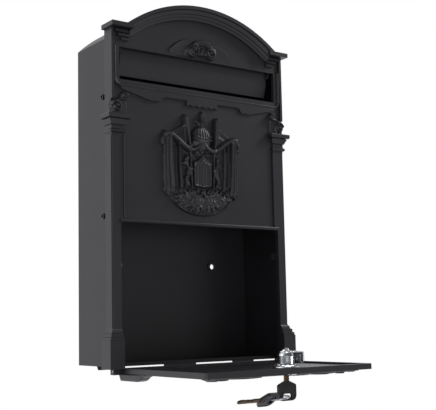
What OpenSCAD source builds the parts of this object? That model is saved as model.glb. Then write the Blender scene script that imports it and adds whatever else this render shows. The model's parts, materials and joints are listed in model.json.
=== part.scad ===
// Wall-mounted letterbox with a cast classical front.
// +Z up, the front faces -Y, and the back of the box lies on the wall plane Y = 0.
// The origin is the centre of the four wall screws. Every module works with heights
// measured from the underside of the box, and placed() moves them to that origin.

/* [Box] */
// Width of the sheet-metal box across its sides
case_w = 236; // [200:1:320]
// Height from the underside of the box to the top of the arched pediment
case_h = 408; // [360:1:520]
// Depth from the wall to the plane of the cast front
case_d = 79; // [60:1:120]
// Rise of the arched pediment above its springing line
arch_rise = 36; // [24:1:50]
// Thickness of the sheet metal
sheet_t = 1.0; // [0.8:0.1:1.6]
// Wall thickness of the casting
cast_t = 4; // [3:0.5:6]

/* [Wall screws] */
// Horizontal distance between wall holes
wall_pitch_x = 132; // [90:1:170]
// Vertical distance between wall holes
wall_pitch_z = 200; // [150:1:205]
// Height of the lower wall holes above the underside
wall_low_z = 113; // [80:1:140]
// Radius of a wall hole
wall_hole_r = 3.2; // [2:0.1:5]

/* [Mail slot] */
// Height of the mail slot
slot_h = 36.7; // [30:0.1:46]
// Distance from the top of the pediment down to the top of the slot
slot_drop = 60.5; // [56:0.5:75]
// Margin between the side of the box and the end of the slot
slot_margin = 9; // [7:0.5:20]
// Height of the flap that hangs in the slot
flap_h = 31.3; // [24:0.1:36]

/* [Door] */
// Height of the door opening
open_h = 153.4; // [120:0.2:190]
// Margin between the side of the box and the side of the door opening
open_margin = 9; // [7:0.5:20]
// Thickness of the door casting at its rim
door_t = 6; // [5:0.5:9]
// Gap between the door and the opening round it
door_gap = 1.2; // [0.6:0.1:2.5]
// Height of the hinge axis below the underside of the box
hinge_drop = 4.6; // [4.5:0.1:6]

/* [Pilasters] */
// Width of a pilaster shaft above the door rail
shaft_w = 15.4; // [12:0.2:22]
// How far a pilaster shaft stands proud of the front
shaft_proud = 1.5; // [0.5:0.1:3]
// Height of the plinth under a pilaster
plinth_h = 30; // [20:1:45]

/* [Lock] */
// Distance from the lock axis to the top edge of the door
lock_setback = 13.5; // [11:0.5:25]
// Radius of the lock body
lock_r = 8.6; // [8:0.1:10.6]
// Height that the lock body stands above the inner face of the door
lock_h = 14.5; // [10:0.5:20]
// Reach of the cam from the lock axis
cam_reach = 18.5; // [17.5:0.5:30]

/* [Keys] */
// Width of a key bow
bow_w = 23; // [18:0.5:28]
// Height of a key bow
bow_h = 19.5; // [16:0.5:26]
// Thickness of a key bow
bow_t = 3.4; // [2.6:0.1:5]
// Mean radius of the key ring
ring_r = 10; // [8:0.5:16]
// Radius of the key ring's wire
ring_wire_r = 0.7; // [0.5:0.05:1.2]
// How far the key ring droops below the horizontal at rest
ring_droop = 6; // [0:1:20]

/* [Hidden] */
$fn = 64;

// colours
black_powder = "#2e2d2f";
bright_chrome = "#c9cbcd";
zinc = "#a9adb0";
black_plastic = "#18181a";
key_brass = "#8a6b4a";

// box
half_w = case_w / 2;
front_y = -case_d;
cast_back_y = front_y + cast_t;
return_t = 2;
return_d = 13;
half_front = half_w + return_t;
moulding_back_y = -case_d + return_d - 1;
casting_foot_z = -2;
wall_mid_z = wall_low_z + wall_pitch_z / 2;
lug_levels = [open_h + 8, case_h - slot_drop - slot_h - 17.3];

// pediment arch: a circle through the springing points and the top
spring_z = case_h - arch_rise;
spring_x = half_w - 14.3;
arch_r = (spring_x * spring_x + arch_rise * arch_rise) / (2 * arch_rise);
arch_cz = case_h - arch_r;
roof_r = arch_r - 0.5;
cornice_w = 14.5;
cornice_proud = 12;
slab_z = spring_z - 5;
arch_foot_z = spring_z - 11;
arch_foot_x = spring_x - 5.7;

// mail slot
slot_top_z = case_h - slot_drop;
slot_low_z = slot_top_z - slot_h;
slot_x = half_w - slot_margin;
slot_corner_r = 1.5;
band_w = 4.3;
bead_w = 3.6;
ledge_z = slot_low_z - band_w;
frame_low_z = ledge_z - bead_w;
frieze_low_z = ledge_z - 15.4;
flap_x = slot_x - 5.5;
rod_r = 1.5;
side_screw_r = 1.6;
screw_head_h = 2.2;
rod_z = slot_top_z + 3.5;
rod_y = cast_back_y + 6.5;
knuckle_r = 3;
bracket_t = 1.5;
bracket_x = flap_x + 0.6;
clip_t = 0.8;
clip_r = 3;
flap_face_y = rod_y - knuckle_r;
flap_low_z = rod_z - 1.5 - flap_h;
flap_t = 1.2;

// door, described open: it lies flat in front of the box with its inner face up
open_x = half_w - open_margin;
rail_z = open_h;
open_corner_r = 4;
hinge_z = -hinge_drop;
door_in = 3.2;
hinge_y = front_y + 5;
door_x = open_x - door_gap;
door_top_z = hinge_z + door_in;
door_low_z = door_top_z - door_t;
door_tail = 2.6;
door_rear_y = hinge_y + door_tail;
door_front_y = hinge_y - (rail_z - door_gap - hinge_z);
rim_w = 5;
pan_sink = 2.2;
pin_r = 1.55;
running = 0.05;
ear_x = open_x + 0.6;
ear_w = 8;
pin_in = 8;
floor_x = half_w - sheet_t;
floor_front_y = hinge_y + door_in + 1.3;
floor_rib_h = 5;

// pilasters
shaft_x = half_front - 0.6;
plinth_top_z = casting_foot_z + plinth_h;
base_top_z = plinth_top_z + 13;
capital_z = ledge_z - 58.5;
capital_h = 23;
plinth_out = 7;

// lock
nut_r = lock_r + 4.6;
nut_t = 2.4;
lock_y = door_front_y + max(lock_setback, nut_r + 0.3);

lock_face_z = door_low_z - 1.2;
plug_r = lock_r - 4.4;
cam_t = 1.6;
cam_w = 14;
cam_drop = 12.5;
cam_z = door_top_z + lock_h;
cam_gap = 0.4;
square_half = 2.6;

// keys
blade_t = 1.8;
blade_w = 6.4;
neck_len = 6;
bow_top_z = lock_face_z - neck_len;
bow_slot_w = 11.6;
bow_slot_h = 4.2;
bow_slot_drop = bow_h - 4.6;
ring_z = bow_top_z - bow_slot_drop;
ring_far = [-2 * ring_r * cos(ring_droop), lock_y, ring_z - 2 * ring_r * sin(ring_droop)];
spare_tilt = 58;
key_reach = 21;
plug_reach = 14;

module placed() {
    translate([0, 0, -wall_mid_z]) children();
}

module both_sides() {
    children();
    mirror([1, 0, 0]) children();
}

// A flat outline drawn in X and Z, running from y_front back over depth.
module slab(y_front, depth) {
    translate([0, y_front + depth, 0]) rotate([90, 0, 0]) linear_extrude(depth) children();
}

module box(x0, x1, y0, y1, z0, z1) {
    translate([x0, y0, z0]) cube([x1 - x0, y1 - y0, z1 - z0]);
}

module rod_x(x0, x1, y, z, r) {
    translate([x0, y, z]) rotate([0, 90, 0]) cylinder(r = r, h = x1 - x0);
}

// A moulding wrapped round the front and both sides of a block, mitred at its corners.
// profile is a list of [height, projection] pairs.
module wrapped_moulding(x0, x1, y_back, y_front, profile) {
    z_low = profile[0][0];
    z_high = profile[len(profile) - 1][0];
    ends = [for (i = [len(profile) - 1 : -1 : 0]) [x0 - profile[i][1], profile[i][0]]];
    sides = [for (p = profile) [x1 + p[1], p[0]]];
    intersection() {
        slab(y_front - 40, y_back - y_front + 40) polygon(concat(sides, ends));
        translate([x0 - 40, 0, 0])
            rotate([90, 0, 90])
                linear_extrude(x1 - x0 + 80)
                    polygon(concat(
                        [[y_back, z_low]],
                        [for (p = profile) [y_front - p[1], p[0]]],
                        [[y_back, z_high]]
                    ));
    }
}

// Outline of the box seen from the front, under its arched roof sheet.
module under_roof() {
    intersection() {
        translate([-half_w, 0]) square([case_w, case_h]);
        union() {
            translate([0, arch_cz]) circle(r = roof_r - sheet_t, $fn = 160);
            translate([-half_w, 0]) square([case_w, arch_cz]);
        }
    }
}

// Places a child at each wall hole, its axis running forwards from the wall.
module wall_points() {
    for (x = [-1, 1], z = [0, 1])
        translate([x * wall_pitch_x / 2, 0, wall_low_z + z * wall_pitch_z])
            rotate([90, 0, 0]) children();
}

// Places a child at each side screw, its axis pointing out of the side of the box.
module side_points() {
    for (side = [-1, 1], z = lug_levels)
        translate([side * half_w, cast_back_y + 15.5, z]) rotate([0, side * 90, 0]) children();
}

// Back and sides of the box, folded from one sheet.
module rear_shell() {
    color(black_powder) placed() difference() {
        union() {
            slab(-sheet_t, sheet_t) under_roof();
            slab(cast_back_y, -cast_back_y) intersection() {
                under_roof();
                both_sides() translate([half_w - sheet_t, 0]) square([sheet_t, case_h]);
            }
            wall_points() cylinder(r = wall_hole_r + 3.2, h = sheet_t + 1.6);
        }
        wall_points() translate([0, 0, -1]) cylinder(r = wall_hole_r, h = sheet_t + 4);
        side_points() translate([0, 0, -3]) cylinder(r = side_screw_r, h = 6);
    }
}

// Barrel roof that follows the arch of the pediment.
module roof_sheet() {
    color(black_powder) placed() slab(cast_back_y, -cast_back_y) intersection() {
        difference() {
            translate([0, arch_cz]) circle(r = roof_r, $fn = 160);
            translate([0, arch_cz]) circle(r = roof_r - sheet_t, $fn = 160);
        }
        translate([-half_w, arch_cz]) square([case_w, arch_r]);
    }
}

// Floor of the box, with a turned-up front lip and a rib below it that has two drain windows.
module floor_pan() {
    rib_x = half_w - 8;
    rib_y = cast_back_y + 48;
    window_in = 0.19 * half_w;
    window_out = 0.645 * half_w;
    color(black_powder) placed() difference() {
        union() {
            box(-floor_x, floor_x, floor_front_y, -sheet_t, 0, sheet_t);
            box(-floor_x, floor_x, floor_front_y, floor_front_y + sheet_t, 0, 4);
            slab(rib_y, sheet_t) polygon([
                [-rib_x, 0], [2 - rib_x, -floor_rib_h], [rib_x - 2, -floor_rib_h], [rib_x, 0]
            ]);
        }
        for (x = [-1, 1])
            translate([x * (window_in + window_out) / 2, rib_y, -floor_rib_h / 2])
                cube([window_out - window_in, 4 * sheet_t, floor_rib_h - 1.8], center = true);
    }
}

// Cornice profile of the arch: radial distance from the outer edge, and projection.
module cornice_ring() {
    steps = [[0, 1], [0.29, 1], [0.33, 0.8], [0.58, 0.62], [0.6, 0.5], [0.78, 0.38], [0.8, 0.3], [1, 0.22]];
    profile = [for (s = steps) [arch_r - s[0] * cornice_w, s[1] * cornice_proud]];
    translate([0, front_y, arch_cz]) rotate([90, 0, 0]) rotate_extrude($fn = 160)
        polygon(concat([[arch_r, -cast_t]], profile, [[arch_r - cornice_w, -cast_t]]));
}

// Space taken by the sheet-metal box behind the casting.
module case_space() {
    slab(cast_back_y, -cast_back_y + 1) {
        translate([-half_w, 0]) square([case_w, arch_cz]);
        intersection() {
            translate([0, arch_cz]) circle(r = roof_r, $fn = 160);
            translate([-half_w, arch_cz - 1]) square([case_w, arch_r + 1]);
        }
    }
}

// Front plate outline without its openings.
module front_outline() {
    translate([-half_front, casting_foot_z]) square([2 * half_front, slab_z + 1 - casting_foot_z]);
    intersection() {
        translate([0, arch_cz]) circle(r = arch_r - 0.2, $fn = 160);
        translate([-half_front, slab_z - 1]) square([2 * half_front, arch_r]);
    }
}

// Rectangle centred on X = 0 from one height to another, with two corners of radius r
// at its second end.
module rounded_end(x, square_end, round_end, r) {
    towards = sign(square_end - round_end);
    difference() {
        translate([-x, min(square_end, round_end)]) square([2 * x, abs(square_end - round_end)]);
        both_sides() difference() {
            translate([x - r, round_end - (towards > 0 ? 1 : r)]) square([r + 1, r + 1]);
            translate([x - r, round_end + towards * r]) circle(r = r);
        }
    }
}

module slot_outline() {
    rounded_end(slot_x, slot_top_z, slot_low_z, slot_corner_r);
}

module door_outline() {
    rounded_end(open_x, casting_foot_z - 1, rail_z, open_corner_r);
}

// Outline that runs round the sides and the foot of the mail slot at a distance from it.
module slot_margin_outline(gap) {
    rounded_end(slot_x + gap, slot_top_z + 1, slot_low_z - gap, slot_corner_r + gap);
}

// Frame of the mail slot: a flat band with a stepped bead round it, open along the top.
module slot_frame() {
    outer = band_w + bead_w;
    slab(front_y - 0.8, 2) difference() {
        slot_margin_outline(outer);
        slot_outline();
        translate([-half_w, slot_top_z]) square([case_w, 2]);
    }
    slab(front_y - 1.2, 2) difference() {
        slot_margin_outline(outer);
        slot_margin_outline(band_w);
    }
    slab(front_y - 2.4, 2) difference() {
        slot_margin_outline(outer - 1.2);
        slot_margin_outline(band_w + 1.2);
    }
}

// Hanging lambrequin edge under the mail slot.
module frieze_outline() {
    low = frieze_low_z;
    step = ledge_z - 9.3;
    tab = 21.5;
    flat_out = 70;
    flat_in = 57;
    right = [
        [tab, low], [tab, step], [flat_in - 7, step], [flat_in - 3, step - 1.2],
        [flat_in, low + 0.4], [flat_out, low], [slot_x - 2, ledge_z - 6.6]
    ];
    left = [for (i = [len(right) - 1 : -1 : 0]) [-right[i][0], right[i][1]]];
    difference() {
        polygon(concat(right, [[slot_x, frame_low_z + 0.4]], [[-slot_x, frame_low_z + 0.4]], left));
        for (i = [-2 : 2]) translate([i * tab * 0.4, low - 1.6]) circle(r = 3, $fn = 24);
    }
}

module pilaster() {
    shaft_in = shaft_x - shaft_w;
    // shaft above the door rail and the narrower stretch beside the door
    box(shaft_in, shaft_x, front_y - shaft_proud, cast_back_y, rail_z, capital_z);
    box(open_x, shaft_x, front_y - shaft_proud, cast_back_y, base_top_z - 1, rail_z);
    // stepped capital with its necking ring
    wrapped_moulding(shaft_in + 1, shaft_x, moulding_back_y, front_y - 1, [
        [capital_z, 0.4], [capital_z + 2.4, 0.4], [capital_z + 2.8, 1.6], [capital_z + 4, 2.6],
        [capital_z + 5.4, 2.6], [capital_z + 6.6, 1.6], [capital_z + 7, 0.8],
        [capital_z + 11, 0.8], [capital_z + 11.6, 2.2], [capital_z + 13.6, 2.8],
        [capital_z + 15.6, 4], [capital_z + 17, 4.4], [capital_z + 17.2, 3.2],
        [capital_z + 18, 3.2], [capital_z + 18.2, 6.8],
        [capital_z + capital_h - 1, 7.2], [capital_z + capital_h, 6.6]
    ]);
    // narrow fillet down the inner side of the shaft
    box(
        shaft_in - 0.2, shaft_in + 1.2, front_y - shaft_proud - 0.7, front_y,
        rail_z + 4, capital_z + 1
    );
    // plinth and the mouldings above it, flush with the door opening on their inner side
    intersection() {
        wrapped_moulding(open_x, shaft_x, moulding_back_y, front_y - 0.6, [
            [casting_foot_z, plinth_out], [plinth_top_z, plinth_out], [plinth_top_z, 6.2],
            [plinth_top_z + 3, 6.2], [plinth_top_z + 3.4, 4.6], [plinth_top_z + 7, 4.4],
            [plinth_top_z + 7.4, 2.8], [plinth_top_z + 10, 2.2], [base_top_z, 0.2]
        ]);
        box(open_x, half_front + plinth_out, front_y - 20, 0, casting_foot_z, base_top_z);
    }
}

// Level return of the cornice at one end of the arch, with three small steps under it, on
// the header block that stands on the capital.
module cornice_return() {
    header_low_z = capital_z + capital_h + 17;
    header_y = front_y - 3;
    box(
        arch_foot_x - 2, half_front + 3.6, front_y - cornice_proud, front_y + return_d,
        slab_z, spring_z
    );
    for (i = [0 : 2])
        box(
            arch_foot_x - 1, half_front - 4.5 - 4 * i, front_y - 4.4 + 1.1 * i, front_y + 1,
            slab_z - 4.2 - 4 * i, slab_z - 1 - 4 * i
        );
    box(slot_x + band_w + bead_w, half_front, header_y, front_y + 1, header_low_z, slab_z + 1);
    box(half_w, half_front, header_y, front_y + return_d, header_low_z, slab_z + 1);
}

// Ear under a plinth that holds a hinge pin.
module hinge_ear() {
    difference() {
        box(
            ear_x, ear_x + ear_w, hinge_y - 3.6, hinge_y + 3.6,
            hinge_z - 3.6, casting_foot_z + 1
        );
        rod_x(ear_x - 1, ear_x + ear_w + 1, hinge_y, hinge_z, pin_r);
    }
}

// Lug behind the opening that the closed door rests against.
module door_rest() {
    rest_y = hinge_y + door_in + 0.5;
    rest_z = 0.77 * rail_z;
    box(open_x - 2.6, open_x + 3, rest_y, rest_y + 3, rest_z, rest_z + 8);
    box(open_x + 0.4, open_x + 3, cast_back_y - 1, rest_y + 3, rest_z, rest_z + 8);
}

// Cast front: arched pediment, mail slot, frieze, central panel, pilasters and door frame.
module front_casting() {
    color(black_powder) placed() difference() {
        union() {
            slab(front_y, cast_t) difference() {
                front_outline();
                slot_outline();
                door_outline();
            }
            difference() {
                union() {
                    intersection() {
                        cornice_ring();
                        union() {
                            box(-half_front, half_front, front_y - 40, 0, slab_z, case_h + 1);
                            box(-arch_foot_x, arch_foot_x, front_y - 40, 0, arch_foot_z, slab_z);
                        }
                    }
                    both_sides() {
                        cornice_return();
                        pilaster();
                        box(
                            half_w, half_front, front_y, front_y + return_d,
                            casting_foot_z, slab_z
                        );
                    }
                }
                case_space();
            }
            both_sides() {
                for (z = lug_levels)
                    box(floor_x - 3, floor_x, cast_back_y - 1, cast_back_y + 21, z - 8, z + 8);
                hinge_ear();
                door_rest();
            }
            slot_frame();
            // sill behind the slot
            box(-slot_x, slot_x, cast_back_y - 1, cast_back_y + 9, slot_low_z - 3, slot_low_z);
            slab(front_y - 2.2, 3) frieze_outline();
            // rounded lip over the door opening
            translate([-open_x - 1, 0, 0]) rotate([90, 0, 90]) linear_extrude(2 * open_x + 2) polygon([
                [front_y + 1, rail_z], [front_y - 2.4, rail_z], [front_y - 3.2, rail_z + 1],
                [front_y - 3.2, rail_z + 2.4], [front_y - 2.4, rail_z + 3.6], [front_y + 1, rail_z + 3.6]
            ]);
        }
        side_points() translate([0, 0, -8]) cylinder(r = side_screw_r, h = 7.5);
    }
}

// Scrolls that fill the corner between each pilaster and the mail slot.
module console_scrolls() {
    capital_top_z = capital_z + capital_h;
    upper = [shaft_x - 16, ledge_z - 14.2];
    lower = [shaft_x - 5, capital_top_z + 8.2];
    color(black_powder) placed() both_sides() slab(front_y - 5, 5) difference() {
        union() {
            translate(upper) circle(r = 4.6);
            translate(lower) circle(r = 6.6);
            polygon([
                [shaft_x - 18.4, capital_top_z], [shaft_x - 18.4, upper[1] - 2], upper + [2.5, 4],
                lower + [5.2, 4.4], [shaft_x, capital_top_z]
            ]);
        }
        translate([shaft_x - 30, capital_top_z - 20]) square([40, 20]);
        frieze_outline();
        slot_margin_outline(band_w + bead_w);
    }
}

// Double scroll with a shell cap and two leaf wings, applied to the tympanum.
module pediment_ornament() {
    mid = slot_top_z + 12;
    color(black_powder) placed() slab(front_y - 8, 8) {
        both_sides() {
            translate([13, mid]) circle(r = 6.6);
            polygon([
                [0, mid + 3], [9, mid + 8], [20, mid + 10.5], [43, mid - 1],
                [40, mid - 3], [22, mid + 2], [8, mid - 3], [0, mid - 3]
            ]);
        }
        translate([0, mid + 7]) circle(r = 8);
    }
}

// Applied relief with a plain shield under a domed cap, a mantle, staffs and a leafy base.
module crest_badge() {
    foot = rail_z + 11;
    drawn_h = 123;
    u = (frieze_low_z - 3.7 - foot) / drawn_h;
    color(black_powder) placed() translate([0, 0, foot]) {
        slab(front_y - 2.6, 2.6) {
            polygon(u * [
                [-56, 31], [-47, 36], [-41, 60], [-46, 84], [-56, 91],
                [-30, 98], [-16, 96], [16, 96], [30, 98], [56, 91],
                [46, 84], [41, 60], [47, 36], [56, 31], [38, 20], [-38, 20]
            ]);
            translate([0, 16 * u]) intersection() {
                circle(r = 42 * u);
                translate([-42 * u, -16 * u]) square([84 * u, 40 * u]);
            }
        }
        slab(front_y - 6, 6) {
            polygon(u * [
                [-12.5, 64], [12.5, 64], [12.5, 44], [8, 36], [0, 32], [-8, 36], [-12.5, 44]
            ]);
            translate([0, 94 * u]) intersection() {
                circle(r = 16 * u);
                translate([-16 * u, -2 * u]) square([32 * u, 24 * u]);
            }
            translate([0, 112 * u]) circle(r = 3 * u);
            polygon(u * [[-1.4, 108], [1.4, 108], [1.4, drawn_h], [-1.4, drawn_h]]);
        }
        both_sides() slab(front_y - 4.4, 4.4)
            polygon(u * [[15.2, 33], [17, 33], [26.6, 115], [24.8, 115]]);
    }
}

// Socket screws that hold the sheet-metal sides to the casting.
module side_screws() {
    color(black_powder) placed() side_points() {
        translate([0, 0, -sheet_t - 3]) cylinder(r = side_screw_r, h = sheet_t + 3.2);
        difference() {
            cylinder(r = 3, h = screw_head_h);
            translate([0, 0, 0.4]) cylinder(r = 2.1, h = screw_head_h, $fn = 6);
        }
    }
}

// Plates behind the slot that carry the flap's rod, each with a stop in front of the flap.
module flap_brackets() {
    color(black_powder) placed() both_sides() difference() {
        union() {
            box(
                bracket_x, bracket_x + bracket_t, cast_back_y, rod_y + 4,
                rod_z - 9.5, rod_z + 6
            );
            box(
                bracket_x - 2.6, bracket_x + bracket_t, flap_face_y - 1.7, flap_face_y - 0.4,
                rod_z - 9.5, rod_z - 5.5
            );
            box(
                bracket_x, bracket_x + 9, cast_back_y, cast_back_y + bracket_t,
                rod_z - 1, rod_z + 6
            );
        }
        rod_x(bracket_x - 1, bracket_x + 4, rod_y, rod_z, rod_r);
    }
}

module flap_rod() {
    reach = bracket_x + bracket_t + clip_t + 1;
    color(black_powder) placed() rod_x(-reach, reach, rod_y, rod_z, rod_r);
}

// Spring clips that keep the rod in its brackets.
module rod_clips() {
    color(zinc) placed() both_sides() difference() {
        rod_x(bracket_x + bracket_t, bracket_x + bracket_t + clip_t, rod_y, rod_z, clip_r);
        rod_x(bracket_x, bracket_x + 6, rod_y, rod_z, rod_r);
        box(
            bracket_x, bracket_x + 6, rod_y - 0.8, rod_y + 0.8, rod_z - 5, rod_z
        );
    }
}

// Pins on which the door turns, held in the ears of the casting.
module hinge_pins() {
    color(zinc) placed() both_sides()
        rod_x(door_x - pin_in + 1, ear_x + ear_w - 0.4, hinge_y, hinge_z, pin_r);
}

// Flap that closes the mail slot: a creased sheet rolled round its rod.
module flap_panel() {
    crease_z = flap_low_z + 0.47 * flap_h;
    low_y = rod_y + 1.5;
    color(black_powder) placed() difference() {
        union() {
            rod_x(-flap_x, flap_x, rod_y, rod_z, knuckle_r);
            translate([-flap_x, 0, 0]) rotate([90, 0, 90]) linear_extrude(2 * flap_x) polygon([
                [flap_face_y, rod_z], [flap_face_y + flap_t, rod_z],
                [flap_face_y + flap_t, crease_z], [low_y + flap_t, flap_low_z],
                [low_y, flap_low_z], [flap_face_y, crease_z]
            ]);
        }
        rod_x(-flap_x - 1, flap_x + 1, rod_y, rod_z, rod_r + running);
    }
}

// Door casting: a shallow pan with its rim turned inwards, bored for the pins and the lock.
module door_panel() {
    color(black_powder) placed() difference() {
        translate([0, 0, door_low_z]) linear_extrude(door_t)
            rounded_end(door_x, door_rear_y, door_front_y, open_corner_r - door_gap);
        difference() {
            box(
                -door_x + rim_w, door_x - rim_w, door_front_y + rim_w, door_rear_y - rim_w - 5,
                door_top_z - pan_sink, door_top_z + 1
            );
            translate([0, lock_y, door_low_z]) cylinder(r = nut_r + 1.6, h = door_t);
        }
        both_sides() rod_x(door_x - pin_in, door_x + 1, hinge_y, hinge_z, pin_r + running);
        translate([0, lock_y, door_low_z - 1]) cylinder(r = lock_r, h = door_t + 2);
    }
}

// Relief on the outer face of the door: corner blocks and a pair of leaf scrolls.
module door_relief() {
    block_len = 52;
    color(black_powder) placed() both_sides() {
        translate([door_x - 11, 0, 0]) rotate([90, 0, 90]) linear_extrude(11) polygon([
            [door_rear_y, door_low_z], [door_rear_y, door_low_z - 7],
            [door_rear_y - 36, door_low_z - 7], [door_rear_y - 42, door_low_z - 5],
            [door_rear_y - 48, door_low_z - 1.6], [door_rear_y - block_len, door_low_z]
        ]);
        translate([68, door_front_y + 40, door_low_z - 5]) cylinder(r = 15, h = 5);
        translate([78, door_front_y + 28, door_low_z - 4]) cylinder(r = 9, h = 4);
    }
}

// Lock body: a barrel through the door with a flange against its outer face.
module lock_body() {
    color(bright_chrome) placed() translate([0, lock_y, lock_face_z]) difference() {
        union() {
            cylinder(r = lock_r, h = cam_z - cam_gap - lock_face_z);
            cylinder(r = lock_r + 2.4, h = door_low_z - lock_face_z);
        }
        translate([0, 0, -1]) cylinder(r = plug_r + running, h = cam_z - lock_face_z + 2);
    }
}

// Hexagon nut with a washer face, run up against the inside of the door.
module lock_nut() {
    color(bright_chrome) placed() translate([0, lock_y, door_top_z]) difference() {
        union() {
            cylinder(r = nut_r, h = 1.2);
            cylinder(r = nut_r - 2, h = nut_t + 1.2, $fn = 6);
        }
        translate([0, 0, -1]) cylinder(r = lock_r, h = nut_t + 4);
    }
}

// Turning plug with its keyway, and a square end for the cam.
module lock_plug() {
    color(bright_chrome) placed() translate([0, lock_y, 0]) difference() {
        union() {
            translate([0, 0, lock_face_z]) cylinder(r = plug_r, h = cam_z - lock_face_z);
            translate([-square_half, -square_half, cam_z - 1])
                cube([2 * square_half, 2 * square_half, cam_t + 1]);
        }
        translate([-blade_w / 2, -blade_t / 2, lock_face_z - 1])
            cube([blade_w, blade_t, plug_reach + 2]);
    }
}

// Cranked cam that locks behind the rail of the casting.
module lock_cam() {
    color(bright_chrome) placed() translate([0, lock_y, cam_z]) difference() {
        union() {
            cylinder(r = cam_w / 2, h = cam_t);
            translate([0, -cam_w / 2, 0]) cube([cam_reach, cam_w, cam_t]);
            translate([cam_reach - cam_t, -cam_w / 2, cam_t - cam_drop]) cube([cam_t, cam_w, cam_drop]);
        }
        translate([-square_half, -square_half, -1]) cube([2 * square_half, 2 * square_half, 6]);
    }
}

// Domed screw and washer that hold the cam on the plug.
module cam_screw() {
    color(bright_chrome) placed() translate([0, lock_y, cam_z + cam_t]) difference() {
        union() {
            cylinder(r = 4.8, h = 0.8);
            intersection() {
                cylinder(r = 3.8, h = 4);
                translate([0, 0, -1.6]) sphere(r = 5);
            }
        }
        for (a = [0, 90]) rotate([0, 0, a]) translate([-0.4, -2.2, 2.2]) cube([0.8, 4.4, 3]);
    }
}

// Blade and neck of a key. The top of the bow is at height 0, and the blade points up.
module key_shank(reach) {
    difference() {
        translate([-blade_w / 2, -blade_t / 2, -7]) cube([blade_w, blade_t, 7 + neck_len + reach]);
        for (i = [0 : 4])
            translate([blade_w / 2, 0, neck_len + 2.4 + 2.3 * i]) rotate([0, 45, 0])
                cube([1.4, 4, 1.4], center = true);
    }
}

// Bow of a key with a slot for the ring.
module key_grip() {
    difference() {
        slab(-bow_t / 2, bow_t) difference() {
            intersection() {
                translate([-bow_w / 2, -bow_h]) square([bow_w, bow_h]);
                translate([0, -bow_h / 2]) circle(r = bow_w / 2 + 1);
            }
            translate([-bow_slot_w / 2, -bow_slot_drop - bow_slot_h / 2])
                square([bow_slot_w, bow_slot_h]);
        }
        translate([-blade_w / 2, -blade_t / 2, -7]) cube([blade_w, blade_t, 8]);
    }
}

// Places a key in the lock, its blade up in the plug.
module lock_key() {
    placed() translate([0, lock_y, bow_top_z]) children();
}

// Places the spare key on the far side of the ring, its blade pointing along -X.
module spare_key() {
    placed() translate(ring_far) rotate([spare_tilt, 0, 0]) rotate([0, -90, 0])
        translate([0, 0, bow_slot_drop]) children();
}

module key_blade() {
    color(key_brass) lock_key() key_shank(plug_reach);
}

module key_bow() {
    color(black_plastic) lock_key() key_grip();
}

module key_ring() {
    color(zinc) placed() translate([0, lock_y, ring_z]) rotate([0, -ring_droop, 0])
        translate([-ring_r, 0, 0]) rotate_extrude($fn = 96)
            translate([ring_r, 0]) circle(r = ring_wire_r, $fn = 24);
}

module spare_blade() {
    color(key_brass) spare_key() key_shank(key_reach);
}

module spare_bow() {
    color(black_plastic) spare_key() key_grip();
}

rear_shell();
roof_sheet();
floor_pan();
front_casting();
console_scrolls();
pediment_ornament();
crest_badge();
side_screws();
flap_brackets();
flap_rod();
rod_clips();
hinge_pins();
flap_panel();
door_panel();
door_relief();
lock_body();
lock_nut();
lock_plug();
lock_cam();
cam_screw();
key_blade();
key_bow();
key_ring();
spare_blade();
spare_bow();
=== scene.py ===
"""Looks of a wall-mounted letterbox with a cast classical front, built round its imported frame.

Every length in this file is in millimetres unless its name says otherwise, and the mesh
helpers turn it to metres. The frame gives every place; the classes add the finishes and the
modelled relief, lock and keys.
"""

import json
import logging
import math
from dataclasses import dataclass, field
from enum import Enum
from typing import Callable, Iterable, Optional, Sequence

import bmesh
import bpy
import numpy as np
from mathutils import Euler, Matrix, Vector

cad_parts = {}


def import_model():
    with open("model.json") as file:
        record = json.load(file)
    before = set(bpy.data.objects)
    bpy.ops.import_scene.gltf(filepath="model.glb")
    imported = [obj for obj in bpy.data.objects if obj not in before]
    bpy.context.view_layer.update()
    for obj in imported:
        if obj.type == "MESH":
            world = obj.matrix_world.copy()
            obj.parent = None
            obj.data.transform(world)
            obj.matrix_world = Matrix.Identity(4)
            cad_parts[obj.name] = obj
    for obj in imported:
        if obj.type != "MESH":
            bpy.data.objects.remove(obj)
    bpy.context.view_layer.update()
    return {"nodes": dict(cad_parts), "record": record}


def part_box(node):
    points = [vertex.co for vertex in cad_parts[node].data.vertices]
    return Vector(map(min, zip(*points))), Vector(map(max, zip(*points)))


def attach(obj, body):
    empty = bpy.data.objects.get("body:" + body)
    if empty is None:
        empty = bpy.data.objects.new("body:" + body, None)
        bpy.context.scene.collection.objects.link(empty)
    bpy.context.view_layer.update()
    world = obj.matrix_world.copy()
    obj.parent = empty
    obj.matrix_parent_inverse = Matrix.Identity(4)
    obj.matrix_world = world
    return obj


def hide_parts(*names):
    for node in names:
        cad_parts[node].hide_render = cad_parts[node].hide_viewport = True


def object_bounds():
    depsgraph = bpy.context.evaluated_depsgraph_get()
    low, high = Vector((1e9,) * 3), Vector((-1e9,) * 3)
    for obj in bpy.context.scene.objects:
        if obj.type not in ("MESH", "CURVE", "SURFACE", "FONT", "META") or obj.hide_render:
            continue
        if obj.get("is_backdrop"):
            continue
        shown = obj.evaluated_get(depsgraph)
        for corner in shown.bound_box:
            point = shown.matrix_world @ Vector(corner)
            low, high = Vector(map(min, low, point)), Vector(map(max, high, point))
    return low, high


MM = 0.001
LOG = logging.getLogger("letterbox")
Point = tuple[float, float]
Point3 = tuple[float, float, float]


class Body(Enum):
    """Rigid bodies of the frame that a piece can ride on."""

    HOUSING = "housing"
    FLAP = "flap"
    DOOR = "door"
    LOCK = "lock_turning"
    RING = "ring"
    SPARE = "spare"


class Slot(Enum):
    """Material slots of the record."""

    POWDER = "black_powder"
    ZINC = "zinc"
    CHROME = "chrome"
    PLASTIC = "key_plastic"
    BRASS = "key_brass"
    WIRE = "ring_steel"


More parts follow.
